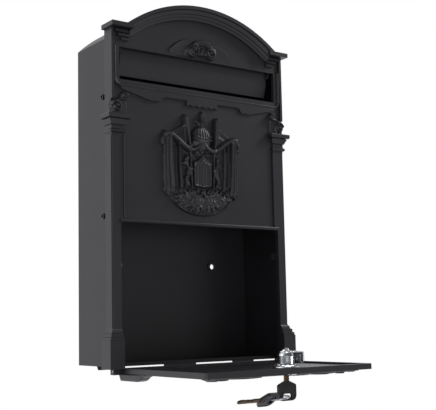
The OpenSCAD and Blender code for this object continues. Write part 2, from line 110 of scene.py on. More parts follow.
# ---------------------------------------------------------------------------------------
# Shader helpers
# ---------------------------------------------------------------------------------------


def linear(hex_colour: str) -> tuple[float, float, float, float]:
    """Turns an sRGB hex colour into linear RGBA.

    Args:
        hex_colour: Colour as "#rrggbb".

    Returns:
        Linear red, green, blue and an alpha of 1.
    """
    parts = [int(hex_colour[i : i + 2], 16) / 255 for i in (1, 3, 5)]
    channels = [c / 12.92 if c <= 0.04045 else ((c + 0.055) / 1.055) ** 2.4 for c in parts]
    return (*channels, 1.0)


def add_node(
    tree: bpy.types.NodeTree,
    kind: str,
    settings: Optional[dict[str, object]] = None,
    inputs: Optional[dict[str | int, object]] = None,
) -> bpy.types.Node:
    """Adds one shader node with its settings, socket values and links.

    Args:
        tree: Node tree that receives the node.
        kind: Blender's node type name.
        settings: Node properties by name.
        inputs: Socket values by name; a value that is a socket is linked instead.

    Returns:
        The new node.
    """
    node = tree.nodes.new(kind)
    for name, value in (settings or {}).items():
        setattr(node, name, value)
    for name, value in (inputs or {}).items():
        socket = node.inputs[name]
        if isinstance(value, bpy.types.NodeSocket):
            tree.links.new(value, socket)
        else:
            socket.default_value = value
    return node


def new_material(name: str) -> tuple[bpy.types.Material, bpy.types.NodeTree]:
    """Makes an empty node material.

    Args:
        name: Name of the material.

    Returns:
        The material and its node tree.
    """
    material = bpy.data.materials.new(name)
    material.use_nodes = True
    material.node_tree.nodes.clear()
    return material, material.node_tree


def object_coords(tree: bpy.types.NodeTree) -> bpy.types.NodeSocket:
    """Returns the object coordinates socket, in metres."""
    return add_node(tree, "ShaderNodeTexCoord").outputs["Object"]


def close_material(tree: bpy.types.NodeTree, inputs: dict[str, object]) -> None:
    """Ends a material with one Principled shader.

    Args:
        tree: Node tree of the material.
        inputs: Socket values or links of the shader.
    """
    shader = add_node(tree, "ShaderNodeBsdfPrincipled", inputs=inputs)
    add_node(tree, "ShaderNodeOutputMaterial", inputs={"Surface": shader.outputs["BSDF"]})


def per_metre(size_mm: float) -> float:
    """Returns the texture scale at which one cell measures size_mm."""
    return 1000.0 / size_mm


# ---------------------------------------------------------------------------------------
# Finishes
# ---------------------------------------------------------------------------------------


@dataclass(frozen=True)
class PowderCoat:
    """Polyester powder coat, sprayed and baked on aluminium and steel.

    It is satin and nearly black. The melted grains leave a fine orange peel, and the sprayed
    film is a little thicker and glossier in some patches than in others.
    """

    name: str = "powder_coat_satin_black"
    colour: str = "#221f23"
    thin_colour: str = "#2b282c"
    roughness: float = 0.40
    peel_mm: float = 1.1
    peel_depth_mm: float = 0.035
    cloud_mm: float = 60.0

    def build(self) -> bpy.types.Material:
        """Builds the material.

        Returns:
            The material.
        """
        material, tree = new_material(self.name)
        place = object_coords(tree)
        clouds = add_node(
            tree,
            "ShaderNodeTexNoise",
            inputs={"Vector": place, "Scale": per_metre(self.cloud_mm), "Detail": 4.0},
        )
        tint = add_node(
            tree,
            "ShaderNodeMix",
            settings={"data_type": "RGBA"},
            inputs={
                "Factor": clouds.outputs["Fac"],
                "A": linear(self.colour),
                "B": linear(self.thin_colour),
            },
        )
        gloss = add_node(
            tree,
            "ShaderNodeMapRange",
            inputs={
                "Value": clouds.outputs["Fac"],
                "To Min": self.roughness - 0.05,
                "To Max": self.roughness + 0.06,
            },
        )
        peel = add_node(
            tree,
            "ShaderNodeTexNoise",
            inputs={"Vector": place, "Scale": per_metre(self.peel_mm), "Detail": 2.0},
        )
        bump = add_node(
            tree,
            "ShaderNodeBump",
            inputs={
                "Strength": 0.5,
                "Distance": self.peel_depth_mm * MM,
                "Height": peel.outputs["Fac"],
            },
        )
        colour = next(s for s in tint.outputs if s.type == "RGBA")
        close_material(
            tree,
            {
                "Base Color": colour,
                "Roughness": gloss.outputs["Result"],
                "IOR": 1.5,
                "Normal": bump.outputs["Normal"],
            },
        )
        return material


@dataclass(frozen=True)
class PlatedMetal:
    """Electroplated metal, brushed or polished before plating.

    A fine grain runs round the part, and the plating is a little duller in patches.
    """

    name: str
    colour: str
    roughness: float
    grain_mm: float = 0.5
    grain_depth_mm: float = 0.006
    patch_mm: float = 9.0

    def build(self) -> bpy.types.Material:
        """Builds the material.

        Returns:
            The material.
        """
        material, tree = new_material(self.name)
        place = object_coords(tree)
        stretched = add_node(
            tree,
            "ShaderNodeMapping",
            inputs={"Vector": place, "Scale": (1.0, 1.0, 6.0)},
        )
        grain = add_node(
            tree,
            "ShaderNodeTexNoise",
            inputs={
                "Vector": stretched.outputs["Vector"],
                "Scale": per_metre(self.grain_mm),
                "Detail": 2.0,
            },
        )
        patches = add_node(
            tree,
            "ShaderNodeTexNoise",
            inputs={"Vector": place, "Scale": per_metre(self.patch_mm), "Detail": 3.0},
        )
        gloss = add_node(
            tree,
            "ShaderNodeMapRange",
            inputs={
                "Value": patches.outputs["Fac"],
                "To Min": max(0.03, self.roughness - 0.06),
                "To Max": self.roughness + 0.08,
            },
        )
        bump = add_node(
            tree,
            "ShaderNodeBump",
            inputs={
                "Strength": 0.4,
                "Distance": self.grain_depth_mm * MM,
                "Height": grain.outputs["Fac"],
            },
        )
        close_material(
            tree,
            {
                "Base Color": linear(self.colour),
                "Metallic": 1.0,
                "Roughness": gloss.outputs["Result"],
                "Normal": bump.outputs["Normal"],
            },
        )
        return material


@dataclass(frozen=True)
class MouldedPlastic:
    """Glass-filled nylon, injection moulded in a spark-eroded mould.

    The mould leaves an even, fine leather-like texture with a soft sheen.
    """

    name: str = "nylon_moulded_black"
    colour: str = "#131315"
    roughness: float = 0.46
    grain_mm: float = 0.7
    grain_depth_mm: float = 0.05

    def build(self) -> bpy.types.Material:
        """Builds the material.

        Returns:
            The material.
        """
        material, tree = new_material(self.name)
        place = object_coords(tree)
        grain = add_node(
            tree,
            "ShaderNodeTexVoronoi",
            inputs={"Vector": place, "Scale": per_metre(self.grain_mm)},
        )
        tint = add_node(
            tree,
            "ShaderNodeValToRGB",
            inputs={"Fac": grain.outputs["Distance"]},
        )
        tint.color_ramp.elements[0].color = linear(self.colour)
        tint.color_ramp.elements[1].color = linear("#1b1b1e")
        bump = add_node(
            tree,
            "ShaderNodeBump",
            inputs={
                "Strength": 0.5,
                "Distance": self.grain_depth_mm * MM,
                "Height": grain.outputs["Distance"],
            },
        )
        close_material(
            tree,
            {
                "Base Color": tint.outputs["Color"],
                "Roughness": self.roughness,
                "IOR": 1.53,
                "Normal": bump.outputs["Normal"],
            },
        )
        return material


@dataclass(frozen=True)
class StudioPaper:
    """White light-table sheet that carries no shadow."""

    name: str = "light_table_white"
    colour: str = "#ffffff"
    strength: float = 1.0

    def build(self) -> bpy.types.Material:
        """Builds the material.

        Returns:
            The material.
        """
        material, tree = new_material(self.name)
        glow = add_node(
            tree,
            "ShaderNodeEmission",
            inputs={"Color": linear(self.colour), "Strength": self.strength},
        )
        add_node(tree, "ShaderNodeOutputMaterial", inputs={"Surface": glow.outputs["Emission"]})
        return material


@dataclass
class Finishes:
    """The finishes of the letterbox, one material for each slot of the record."""

    by_slot: dict[Slot, bpy.types.Material] = field(default_factory=dict)

    # sheet: a coat darker than the casting's, painted shade for the inside of the box
    sheet: Optional[bpy.types.Material] = None

    def build(self) -> "Finishes":
        """Builds every finish.

        Returns:
            The set itself, with its materials made.
        """
        # The rolled-sheet parts lie inside the box; their coat is made darker as painted shade for the box's
        # interior.
        self.sheet = PowderCoat(
            name="powder_coat_darkened_as_interior_shade", colour="#1b191c", thin_colour="#232025", roughness=0.44
        ).build()
        self.by_slot = {
            Slot.POWDER: PowderCoat().build(),
            Slot.ZINC: PlatedMetal("zinc_plated_steel", "#a4a8ab", 0.34).build(),
            Slot.CHROME: PlatedMetal("chrome_plated_zinc_casting", "#d2d4d6", 0.14).build(),
            Slot.PLASTIC: MouldedPlastic().build(),
            # Key brass: a brass colour darkened as painted shade, for the key neck that hangs in the door's
            # shadow.
            Slot.BRASS: PlatedMetal("brass_key_blank_darkened_as_shade", "#66513f", 0.42).build(),
            Slot.WIRE: PlatedMetal("spring_steel_wire_bright", "#b9bbbd", 0.22).build(),
        }
        return self

    def dress(self, piece: bpy.types.Object, slot: Slot) -> None:
        """Gives a piece one finish in place of whatever it had.

        Args:
            piece: Mesh object to dress.
            slot: Slot whose finish it takes.
        """
        piece.data.materials.clear()
        piece.data.materials.append(self.by_slot[slot])


# ---------------------------------------------------------------------------------------
# Mesh helpers
# ---------------------------------------------------------------------------------------


def mesh_object(
    name: str, points: Iterable[Sequence[float]], faces: Sequence[Sequence[int]], smooth: bool
) -> bpy.types.Object:
    """Makes a linked mesh object from points in millimetres.

    Args:
        name: Name of the object.
        points: Corners in millimetres, in the frame's axes.
        faces: Corner indices of each face.
        smooth: Whether the faces are shaded smooth.

    Returns:
        The new object.
    """
    mesh = bpy.data.meshes.new(name)
    mesh.from_pydata([tuple(c * MM for c in p) for p in points], [], [tuple(f) for f in faces])
    mesh.validate()
    mesh.polygons.foreach_set("use_smooth", [smooth] * len(mesh.polygons))
    piece = bpy.data.objects.new(name, mesh)
    bpy.context.scene.collection.objects.link(piece)
    return piece


def soften_edges(piece: bpy.types.Object, width: float, segments: int = 2) -> None:
    """Rounds the sharp edges of a hard piece and evens its shading.

    Args:
        piece: Object that gets the modifiers.
        width: Width of the rounding in millimetres.
        segments: Steps across the rounding.
    """
    weld = piece.modifiers.new("weld", "WELD")
    weld.merge_threshold = 0.004 * MM
    merge = piece.modifiers.new("merge_flats", "DECIMATE")
    merge.decimate_type = "DISSOLVE"
    merge.angle_limit = math.radians(0.8)
    bevel = piece.modifiers.new("edge_rounding", "BEVEL")
    bevel.width = width * MM
    bevel.segments = segments
    bevel.limit_method = "ANGLE"
    bevel.angle_limit = math.radians(32)
    bevel.harden_normals = False
    even = piece.modifiers.new("even_shading", "WEIGHTED_NORMAL")
    even.keep_sharp = False
    piece.data.polygons.foreach_set("use_smooth", [True] * len(piece.data.polygons))


# ---------------------------------------------------------------------------------------
# Relief modelling
# ---------------------------------------------------------------------------------------


def curve_through(points: Sequence[Point], steps: int = 8) -> np.ndarray:
    """Draws a smooth line through points.

    Args:
        points: Points that the line passes through.
        steps: Straight pieces between two points.

    Returns:
        The points of the line, one row each.
    """
    marks = np.array(points, float)
    if len(marks) < 3:
        return marks
    ends = np.vstack([2 * marks[0] - marks[1], marks, 2 * marks[-1] - marks[-2]])
    line = []
    for a, b, c, d in zip(ends[:-3], ends[1:-2], ends[2:-1], ends[3:]):
        for t in np.arange(steps) / steps:
            bend = 2 * b + (c - a) * t + (2 * a - 5 * b + 4 * c - d) * t**2
            line.append(0.5 * (bend + (3 * b - a - 3 * c + d) * t**3))
    return np.vstack([line, marks[-1:]])


def spiral(centre: Point, radius: float, turns: float, start: float, core: float = 0.22) -> np.ndarray:
    """Draws a volute from its outside to its eye.

    Args:
        centre: Middle of the eye.
        radius: Outer radius.
        turns: Turns to the eye; a negative number winds clockwise.
        start: Angle of the outer end in degrees.
        core: Radius at the eye as a share of the outer radius.

    Returns:
        The points of the line, one row each.
    """
    share = np.linspace(0, 1, int(abs(turns) * 28) + 2)
    angle = math.radians(start) + share * turns * 2 * math.pi
    reach = radius * (1 - (1 - core) * share**0.85)
    return np.stack([centre[0] + reach * np.cos(angle), centre[1] + reach * np.sin(angle)], 1)


@dataclass
class ReliefField:
    """Cast relief, drawn as heights above a flat ground on a regular grid.

    Attributes:
        low: Lowest corner of the drawing, across and up.
        high: Highest corner of the drawing.
        step: Distance between two grid points.
    """

    low: Point
    high: Point
    step: float = 0.6

    def __post_init__(self) -> None:
        """Lays out the grid with the ground at height 0."""
        across = np.arange(self.low[0], self.high[0] + self.step / 2, self.step)
        up = np.arange(self.low[1], self.high[1] + self.step / 2, self.step)
        self.across, self.up = np.meshgrid(across, up, indexing="ij")
        self.height = np.zeros_like(self.across)

    def window(self, path: np.ndarray, reach: float) -> tuple[slice, slice]:
        """Returns the part of the grid that lies within reach of a path.

        Args:
            path: Points of the path.
            reach: Distance from the path.

        Returns:
            Slices of the grid, across and up.
        """
        low = (path.min(0) - reach - self.low) / self.step
        high = (path.max(0) + reach - self.low) / self.step + 2
        size = self.height.shape
        first = [int(np.clip(low[i], 0, size[i])) for i in (0, 1)]
        last = [int(np.clip(high[i], 0, size[i])) for i in (0, 1)]
        return slice(first[0], last[0]), slice(first[1], last[1])

    def measure(
        self, path: np.ndarray, reach: float
    ) -> tuple[tuple[slice, slice], np.ndarray, np.ndarray]:
        """Measures grid points against a path.

        Args:
            path: Points of the path.
            reach: Distance past which points are left out.

        Returns:
            The window of the grid, and each point's distance from the path and its share of
            the way along it.
        """
        part = self.window(path, reach)
        across, up = self.across[part], self.up[part]
        nearest = np.full(across.shape, np.inf)
        share = np.zeros(across.shape)
        for index, (a, b) in enumerate(zip(path[:-1], path[1:])):
            run = b - a
            t = ((across - a[0]) * run[0] + (up - a[1]) * run[1]) / max(run @ run, 1e-9)
            t = np.clip(t, 0, 1)
            gap = np.hypot(across - a[0] - t * run[0], up - a[1] - t * run[1])
            closer = gap < nearest
            nearest[closer] = gap[closer]
            share[closer] = (index + t[closer]) / (len(path) - 1)
        return part, nearest, share

    def raise_to(self, part: tuple[slice, slice], height: np.ndarray) -> None:
        """Raises a window of the relief to the given heights where it is lower."""
        self.height[part] = np.maximum(self.height[part], height)

    def rope(
        self,
        path: np.ndarray,
        width: float,
        top: float,
        base: float = 0.0,
        end_width: Optional[float] = None,
    ) -> None:
        """Lays a rounded strand along a path.

        Args:
            path: Points of its middle line.
            width: Half its width at the start.
            top: Height of its crown.
            base: Height at which its sides start.
            end_width: Half its width at the end.
        """
        last = width if end_width is None else end_width
        part, gap, share = self.measure(path, max(width, last))
        inside = 1 - (gap / (width + (last - width) * share)) ** 2
        height = base + (top - base) * np.sqrt(np.clip(inside, 0, 1))
        self.raise_to(part, np.where(inside > 0, height, 0))

    def dome(self, centre: Point, radii: Point, top: float, base: float = 0.0, ribs: int = 0) -> None:
        """Raises a rounded boss.

        Args:
            centre: Its middle.
            radii: Its half width and half height.
            top: Height of its crown.
            base: Height at which its side starts.
            ribs: Number of ribs that run down it.
        """
        path = np.array([centre, centre], float)
        part = self.window(path, max(radii))
        across = (self.across[part] - centre[0]) / radii[0]
        up = (self.up[part] - centre[1]) / radii[1]
        inside = 1 - across**2 - up**2
        height = base + (top - base) * np.sqrt(np.clip(inside, 0, 1))
        if ribs:
            turn = np.arcsin(np.clip(across / np.sqrt(np.clip(1 - up**2, 0.02, 1)), -1, 1))
            height = height + 0.45 * np.cos(turn * ribs)
        self.raise_to(part, np.where(inside > 0, height, 0))

    def leaf(
        self,
        root: Point,
        tip: Point,
        width: float,
        top: float,
        base: float = 0.0,
        lobes: int = 3,
        bend: float = 0.0,
    ) -> None:
        """Raises an acanthus leaf with a sunk midrib and lobed sides.

        Args:
            root: Where it grows from.
            tip: Its point.
            width: Half its width.
            top: Height of its crown.
            base: Height at which its side starts.
            lobes: Lobes on each side.
            bend: How far its middle bows to its left, as a share of its length.
        """
        start, end = np.array(root, float), np.array(tip, float)
        run = end - start
        side = np.array([-run[1], run[0]])
        path = curve_through([start, (start + end) / 2 + side * bend, end])
        part, gap, share = self.measure(path, width * 1.1)
        body = np.sin(np.pi * np.clip(0.12 + 0.88 * share, 0, 1) ** 1.15) ** 0.8
        edge = width * body * (1 - 0.22 * np.abs(np.sin(np.pi * lobes * share)) ** 3)
        inside = 1 - (gap / np.maximum(edge, 1e-3)) ** 2
        vein = np.exp(-((gap / (0.16 * width)) ** 2))
        fans = 0.5 + 0.5 * np.cos(2 * np.pi * (lobes * share - 0.9 * gap / width))
        crown = (top - base) * np.clip(inside, 0, 1) ** 0.4
        height = base + crown * (0.84 + 0.16 * fans) - 0.35 * (top - base) * vein
        self.raise_to(part, np.where((inside > 0) & (share < 0.999), height, 0))

    def plate(self, outline: Sequence[Point], top: float, edge: float = 1.0) -> np.ndarray:
        """Raises a flat area with a rounded edge.

        Args:
            outline: Corners of the area.
            top: Its height.
            edge: Width of its rounded edge.

        Returns:
            The mask of the area over the whole grid.
        """
        corners = np.array(outline, float)
        inside = np.zeros(self.height.shape, bool)
        for a, b in zip(corners, np.roll(corners, -1, 0)):
            crosses = (a[1] > self.up) != (b[1] > self.up)
            rise = b[1] - a[1] if b[1] != a[1] else 1e-9
            inside ^= crosses & (self.across < (b[0] - a[0]) * (self.up - a[1]) / rise + a[0])
        gap = np.full(self.height.shape, np.inf)
        loop = np.vstack([corners, corners[:1]])
        part, near, _ = self.measure(loop, edge + self.step)
        gap[part] = near
        ease = np.sqrt(np.clip(1 - (1 - np.clip(gap / edge, 0, 1)) ** 2, 0.15, 1))
        self.height = np.maximum(self.height, np.where(inside, top * ease, 0))
        return inside

    def mirror(self) -> None:
        """Copies the relief to the other side of its middle line."""
        self.height = np.maximum(self.height, self.height[::-1])

    def soften(self, rounds: int) -> np.ndarray:
        """Returns the heights with their edges rounded by a short blur.

        Args:
            rounds: Rounds of the blur.

        Returns:
            The softened heights.
        """
        height = self.height
        for _ in range(rounds):
            wide = np.pad(height, 1)
            rows = (wide[:-2, 1:-1] + 2 * wide[1:-1, 1:-1] + wide[2:, 1:-1]) / 4
            wide = np.pad(rows, 1)
            height = (wide[1:-1, :-2] + 2 * wide[1:-1, 1:-1] + wide[1:-1, 2:]) / 4
        return height

    def build(
        self,
        name: str,
        place: Callable[[np.ndarray, np.ndarray, np.ndarray], np.ndarray],
        rounds: int = 1,
        sink: float = 0.5,
    ) -> bpy.types.Object:
        """Turns the relief into a closed mesh with a flat back.

        Args:
            name: Name of the object.
            place: Turns across, up and height arrays into points of the frame.
            rounds: Rounds of softening.
            sink: How far the back lies below the ground.

        Returns:
            The mesh object.
        """
        height = self.soften(rounds)
        solid = height > 0.12
        solid[[0, -1], :] = False
        solid[:, [0, -1]] = False
        cells = solid[:-1, :-1] | solid[1:, :-1] | solid[:-1, 1:] | solid[1:, 1:]
        used = np.zeros(solid.shape, bool)
        for shift in ((0, 0), (1, 0), (0, 1), (1, 1)):
            rows = slice(shift[0], shift[0] + cells.shape[0])
            columns = slice(shift[1], shift[1] + cells.shape[1])
            used[rows, columns] |= cells
        front = np.full(solid.shape, -1)
        front[used] = np.arange(used.sum())
        back = front.copy()
        back[solid] = used.sum() + np.arange(solid.sum())
        heights = np.where(solid, height, -sink)
        tops = place(self.across[used], self.up[used], heights[used])
        floor = place(self.across[solid], self.up[solid], np.full(solid.sum(), -sink))
        i, j = np.nonzero(cells)
        quads = []
        for table, turn in ((front, 1), (back, -1)):
            ring = np.stack([table[i, j], table[i + 1, j], table[i + 1, j + 1], table[i, j + 1]], 1)
            quads.append(ring[:, ::turn])
        return mesh_object(name, np.vstack([tops, floor]), np.vstack(quads).tolist(), smooth=True)


# ---------------------------------------------------------------------------------------
# Relief pieces
# ---------------------------------------------------------------------------------------


def box_mm(node: str) -> tuple[np.ndarray, np.ndarray]:
    """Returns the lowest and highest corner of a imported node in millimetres."""
    low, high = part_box(node)
    return np.array(low) / MM, np.array(high) / MM


def on_front(ground_y: float, foot_z: float) -> Callable[[np.ndarray, np.ndarray, np.ndarray], np.ndarray]:
    """Returns the placing of a relief that stands on a plane facing -Y.

    Args:
        ground_y: Y of the plane.
        foot_z: Z of the drawing's zero height.

    Returns:
        A function that turns across, up and height arrays into points.
    """
    return lambda across, up, height: np.stack([across, ground_y - height, foot_z + up], 1)


@dataclass
class CrestRelief:
    """Applied badge: a fluted shield and a ribbed cap under a draped mantle, over foliage.

    Its sizes are drawn for a badge drawn_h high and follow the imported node.
    """

    drawn_h: float = 123.0
    hem_top: float = 7.2
    foliage_top: float = 6.0
    narrowing: float = 0.96
    offset: float = 2.6
    seed: int = 11

    def build(self) -> bpy.types.Object:
        """Builds the badge.

        Returns:
            The mesh object.
        """
        low, high = box_mm("crest_badge")
        scale = (high[2] - low[2]) / self.drawn_h
        art = ReliefField((-60.0, -1.8), (60.0, 126.0))
        self.draw_cloth(art)
        self.draw_hems(art)
        self.draw_staffs(art)
        self.draw_foliage(art)
        self.draw_mound(art)
        art.mirror()
        self.draw_cap(art)
        self.draw_shield(art)
        place = on_front(high[1], low[2])
        return art.build(
            "crest_relief", lambda u, v, h: place(u * scale * self.narrowing - self.offset, v * scale, h)
        )

    def draw_cloth(self, art: ReliefField) -> None:
        """Draws the mantle's ground and the folds that hang from its corners.

        Args:
            art: Relief that receives it.
        """
        art.plate([(0, 24), (40, 24), (46, 34), (45, 78), (22, 80), (0, 92)], 0.8)
        folds = [
            (51.0, 86.0, 51.0, 33.0, 1.5, 2.3, 3.8),
            (48.0, 88.0, 47.2, 29.0, 1.5, 2.6, 5.2),
            (44.8, 88.5, 42.4, 32.0, 1.6, 2.7, 7.4),
            (40.6, 86.0, 38.6, 36.0, 1.1, 1.6, 3.4),
            (32.4, 80.0, 30.8, 31.0, 1.3, 2.1, 6.2),
            (28.8, 79.0, 27.4, 35.0, 0.8, 1.2, 3.2),
        ]
        for top_x, top_v, foot_x, foot_v, start, end, crown in folds:
            middle = ((top_x + foot_x) / 2 + 0.8, (top_v + foot_v) / 2)
            path = curve_through([(top_x, top_v), middle, (foot_x, foot_v)])
            art.rope(path, start, crown, 0.8, end)
        art.leaf((50.5, 35.0), (53.0, 25.0), 2.6, 4.4, 0.8, lobes=1)
        art.leaf((46.5, 33.0), (49.0, 21.0), 3.0, 5.6, 0.8, lobes=1)
        art.leaf((41.5, 34.0), (43.0, 23.5), 3.0, 6.6, 0.8, lobes=1)

    def draw_hems(self, art: ReliefField) -> None:
        """Draws the rolled hems that are gathered up to the staffs, and their knots.

        Args:
            art: Relief that receives it.
        """
        art.plate([(24, 104), (44, 93.5), (33, 84), (20, 78), (21, 92)], 1.4)
        for foot_x, foot_v in ((42.0, 94.0), (34.0, 90.0)):
            sag = curve_through([(24.0, 104.5), (foot_x - 7, foot_v + 4), (foot_x, foot_v)])
            art.rope(sag, 0.9, 3.0, 1.2, 1.2)
        hem = curve_through([(49.0, 92.0), (43.0, 91.0), (32.5, 85.0), (25.0, 79.5), (17.0, 75.5)])
        art.rope(hem, 3.0, self.hem_top, 1.0, 3.6)
        art.rope(self.swag(1), 3.2, self.hem_top, 2.6, 2.0)
        art.dome((50.5, 91.0), (4.2, 4.6), 6.4, 2.2)
        art.rope(curve_through([(53.0, 90.0), (55.0, 86.0), (54.5, 80.0)]), 1.9, 5.0, 1.6, 2.4)

    def swag(self, side: int) -> np.ndarray:
        """Returns the line of the hem from a staff up to the foot of the cap."""
        points = [(17.5, 75.5), (11.5, 76.2), (5.0, 80.5), (0.4, 85.0)]
        return curve_through([(side * x, v) for x, v in points])

    def draw_staffs(self, art: ReliefField) -> None:
        """Draws the tapering staffs that hold the mantle up.

        Args:
            art: Relief that receives it.
        """
        art.rope(np.array([(22.6, 113.0), (17.4, 76.0)]), 3.0, 7.4, 1.0, 1.3)
        art.rope(np.array([(17.4, 76.0), (15.4, 31.0)]), 1.2, 6.6, 1.6, 1.1)
        art.dome((22.9, 114.0), (2.6, 2.4), 6.0, 2.0)
        art.dome((17.4, 75.5), (2.6, 2.6), 8.0, 3.4)

    def draw_foliage(self, art: ReliefField) -> None:
        """Draws the tall leaf scroll at the side of the shield.

        Args:
            art: Relief that receives it.
        """
        art.dome((21.6, 65.5), (2.6, 3.6), 6.6, 1.6)
        art.leaf((19.6, 55.0), (23.2, 69.0), 3.0, self.foliage_top, 1.0, lobes=1, bend=-0.1)
        art.leaf((23.6, 41.0), (19.6, 58.5), 3.6, self.foliage_top + 0.8, 1.0, lobes=2, bend=0.1)
        art.leaf((18.6, 33.0), (23.0, 47.0), 3.4, self.foliage_top + 0.4, 1.0, lobes=1, bend=-0.15)
        art.leaf((24.6, 32.0), (20.5, 40.5), 2.2, self.foliage_top, 1.0, lobes=1)
        art.rope(curve_through([(21.0, 55.0), (17.5, 53.0), (13.0, 53.4)]), 0.9, 6.6, 2.0, 0.7)
        art.rope(spiral((25.4, 60.0), 2.4, 1.1, -120.0), 0.9, 5.0, 1.2, 0.7)

    def draw_mound(self, art: ReliefField) -> None:
        """Draws the bowl of tangled leaves that carries the badge.

        Args:
            art: Relief that receives it.
        """
        rim = [(47 * math.sin(a), 31 - 29.0 * math.cos(a)) for a in np.linspace(0, 1.46, 16)]
        art.plate([(0, 33), *rim, (44, 32)], 1.8, 1.6)
        art.rope(np.array(rim[:13]), 1.2, 3.4, 0.6, 0.9)
        chance = np.random.default_rng(self.seed)
        for turn in np.linspace(0.0, 1.3, 7):
            reach = 27.0 + 11.0 * (turn / 1.3) ** 2 - 4.0 * chance.random()
            root = (5 + 11 * math.sin(turn), 27 - 3 * math.cos(turn))
            tip = (2 + (reach + 9) * math.sin(turn), 30.5 - reach * math.cos(turn))
            art.leaf(root, tip, 2.6 + 1.6 * chance.random(), 4.6 + 2.4 * chance.random(), 1.4, bend=-0.1)
        for _ in range(34):
            across = 40.0 * chance.random()
            depth = 26.0 * math.sqrt(max(0.05, 1 - (across / 46.0) ** 2))
            up = 31.0 - depth * chance.random()
            lean = chance.uniform(-0.9, 0.9)
            length = chance.uniform(4.0, 8.0)
            tip = (across + length * math.sin(lean), max(3.0, up - length * math.cos(lean)))
            art.leaf((across, up), tip, chance.uniform(1.3, 2.4), chance.uniform(4.6, 7.2), 1.6, lobes=1)

    def draw_cap(self, art: ReliefField) -> None:
        """Draws the round cap with its flame finial and the drapery under it.

        Args:
            art: Relief that receives it.
        """
        art.plate([(-14, 76), (-14.4, 90), (14.4, 90), (14, 76), (6, 79), (0, 84), (-6, 79)], 2.0)
        art.plate([(-14.5, 64), (-15.5, 77), (-7, 79), (0, 84), (7, 79), (15.5, 77), (14.5, 64)], 1.6)
        art.dome((0.0, 89.6), (14.2, 15.2), 7.6, 1.2, ribs=23)
        for rise in (0.0, 3.6):
            half = 12.6 - 0.25 * rise
            band = curve_through([(-half, 88.0 + rise), (0.0, 85.6 + rise), (half, 88.0 + rise)])
            art.rope(band, 1.1, 8.4, 4.4, 1.1)
        for side in (-1, 1):
            art.rope(self.swag(side), 3.2, self.hem_top + 0.6, 3.0, 2.2)
            art.rope(spiral((side * 8.4, 71.0), 3.4, side * 1.25, 90.0), 1.0, 5.2, 1.6, 0.8)
        art.dome((0.0, 74.5), (2.8, 3.8), 5.6, 1.6)
        art.dome((0.0, 68.8), (1.8, 2.0), 5.2, 1.6)
        art.leaf((0.0, 102.5), (1.4, 122.5), 3.2, 7.0, 0.8, lobes=1, bend=-0.08)
        art.leaf((0.0, 104.0), (7.4, 110.0), 2.0, 4.2, 0.6, lobes=1, bend=0.2)
        art.leaf((0.0, 104.0), (-9.5, 110.5), 2.6, 2.4, 0.6, lobes=1, bend=-0.2)

    def draw_shield(self, art: ReliefField) -> None:
        """Draws the fluted shield with its raised border.

        Args:
            art: Relief that receives it.
        """
        right = [(3.5, 66.0), (8.0, 62.2), (12.0, 61.4), (11.6, 35.0)]
        left = [(-x, v) for x, v in reversed(right)]
        outline = [(0, 67.0), *right, (0, 33.6), *left]
        mask = art.plate(outline, 4.6, 0.8)
        flutes = 0.55 * np.abs(np.cos(np.pi * art.across / 4.1))
        art.height = np.where(mask & (np.abs(art.across) < 10.6), 4.4 + flutes, art.height)
        art.rope(np.array([*outline, outline[0]]), 1.0, 6.2, 3.6)
        art.rope(np.array([(0.0, 34.5), (0.0, 66.0)]), 0.8, 6.0, 4.0)
        chevron = curve_through([(-11.5, 58.5), (-4.0, 61.5), (0.0, 64.0), (4.0, 61.5), (11.5, 58.5)])
        art.rope(chevron, 1.0, 6.2, 4.0)


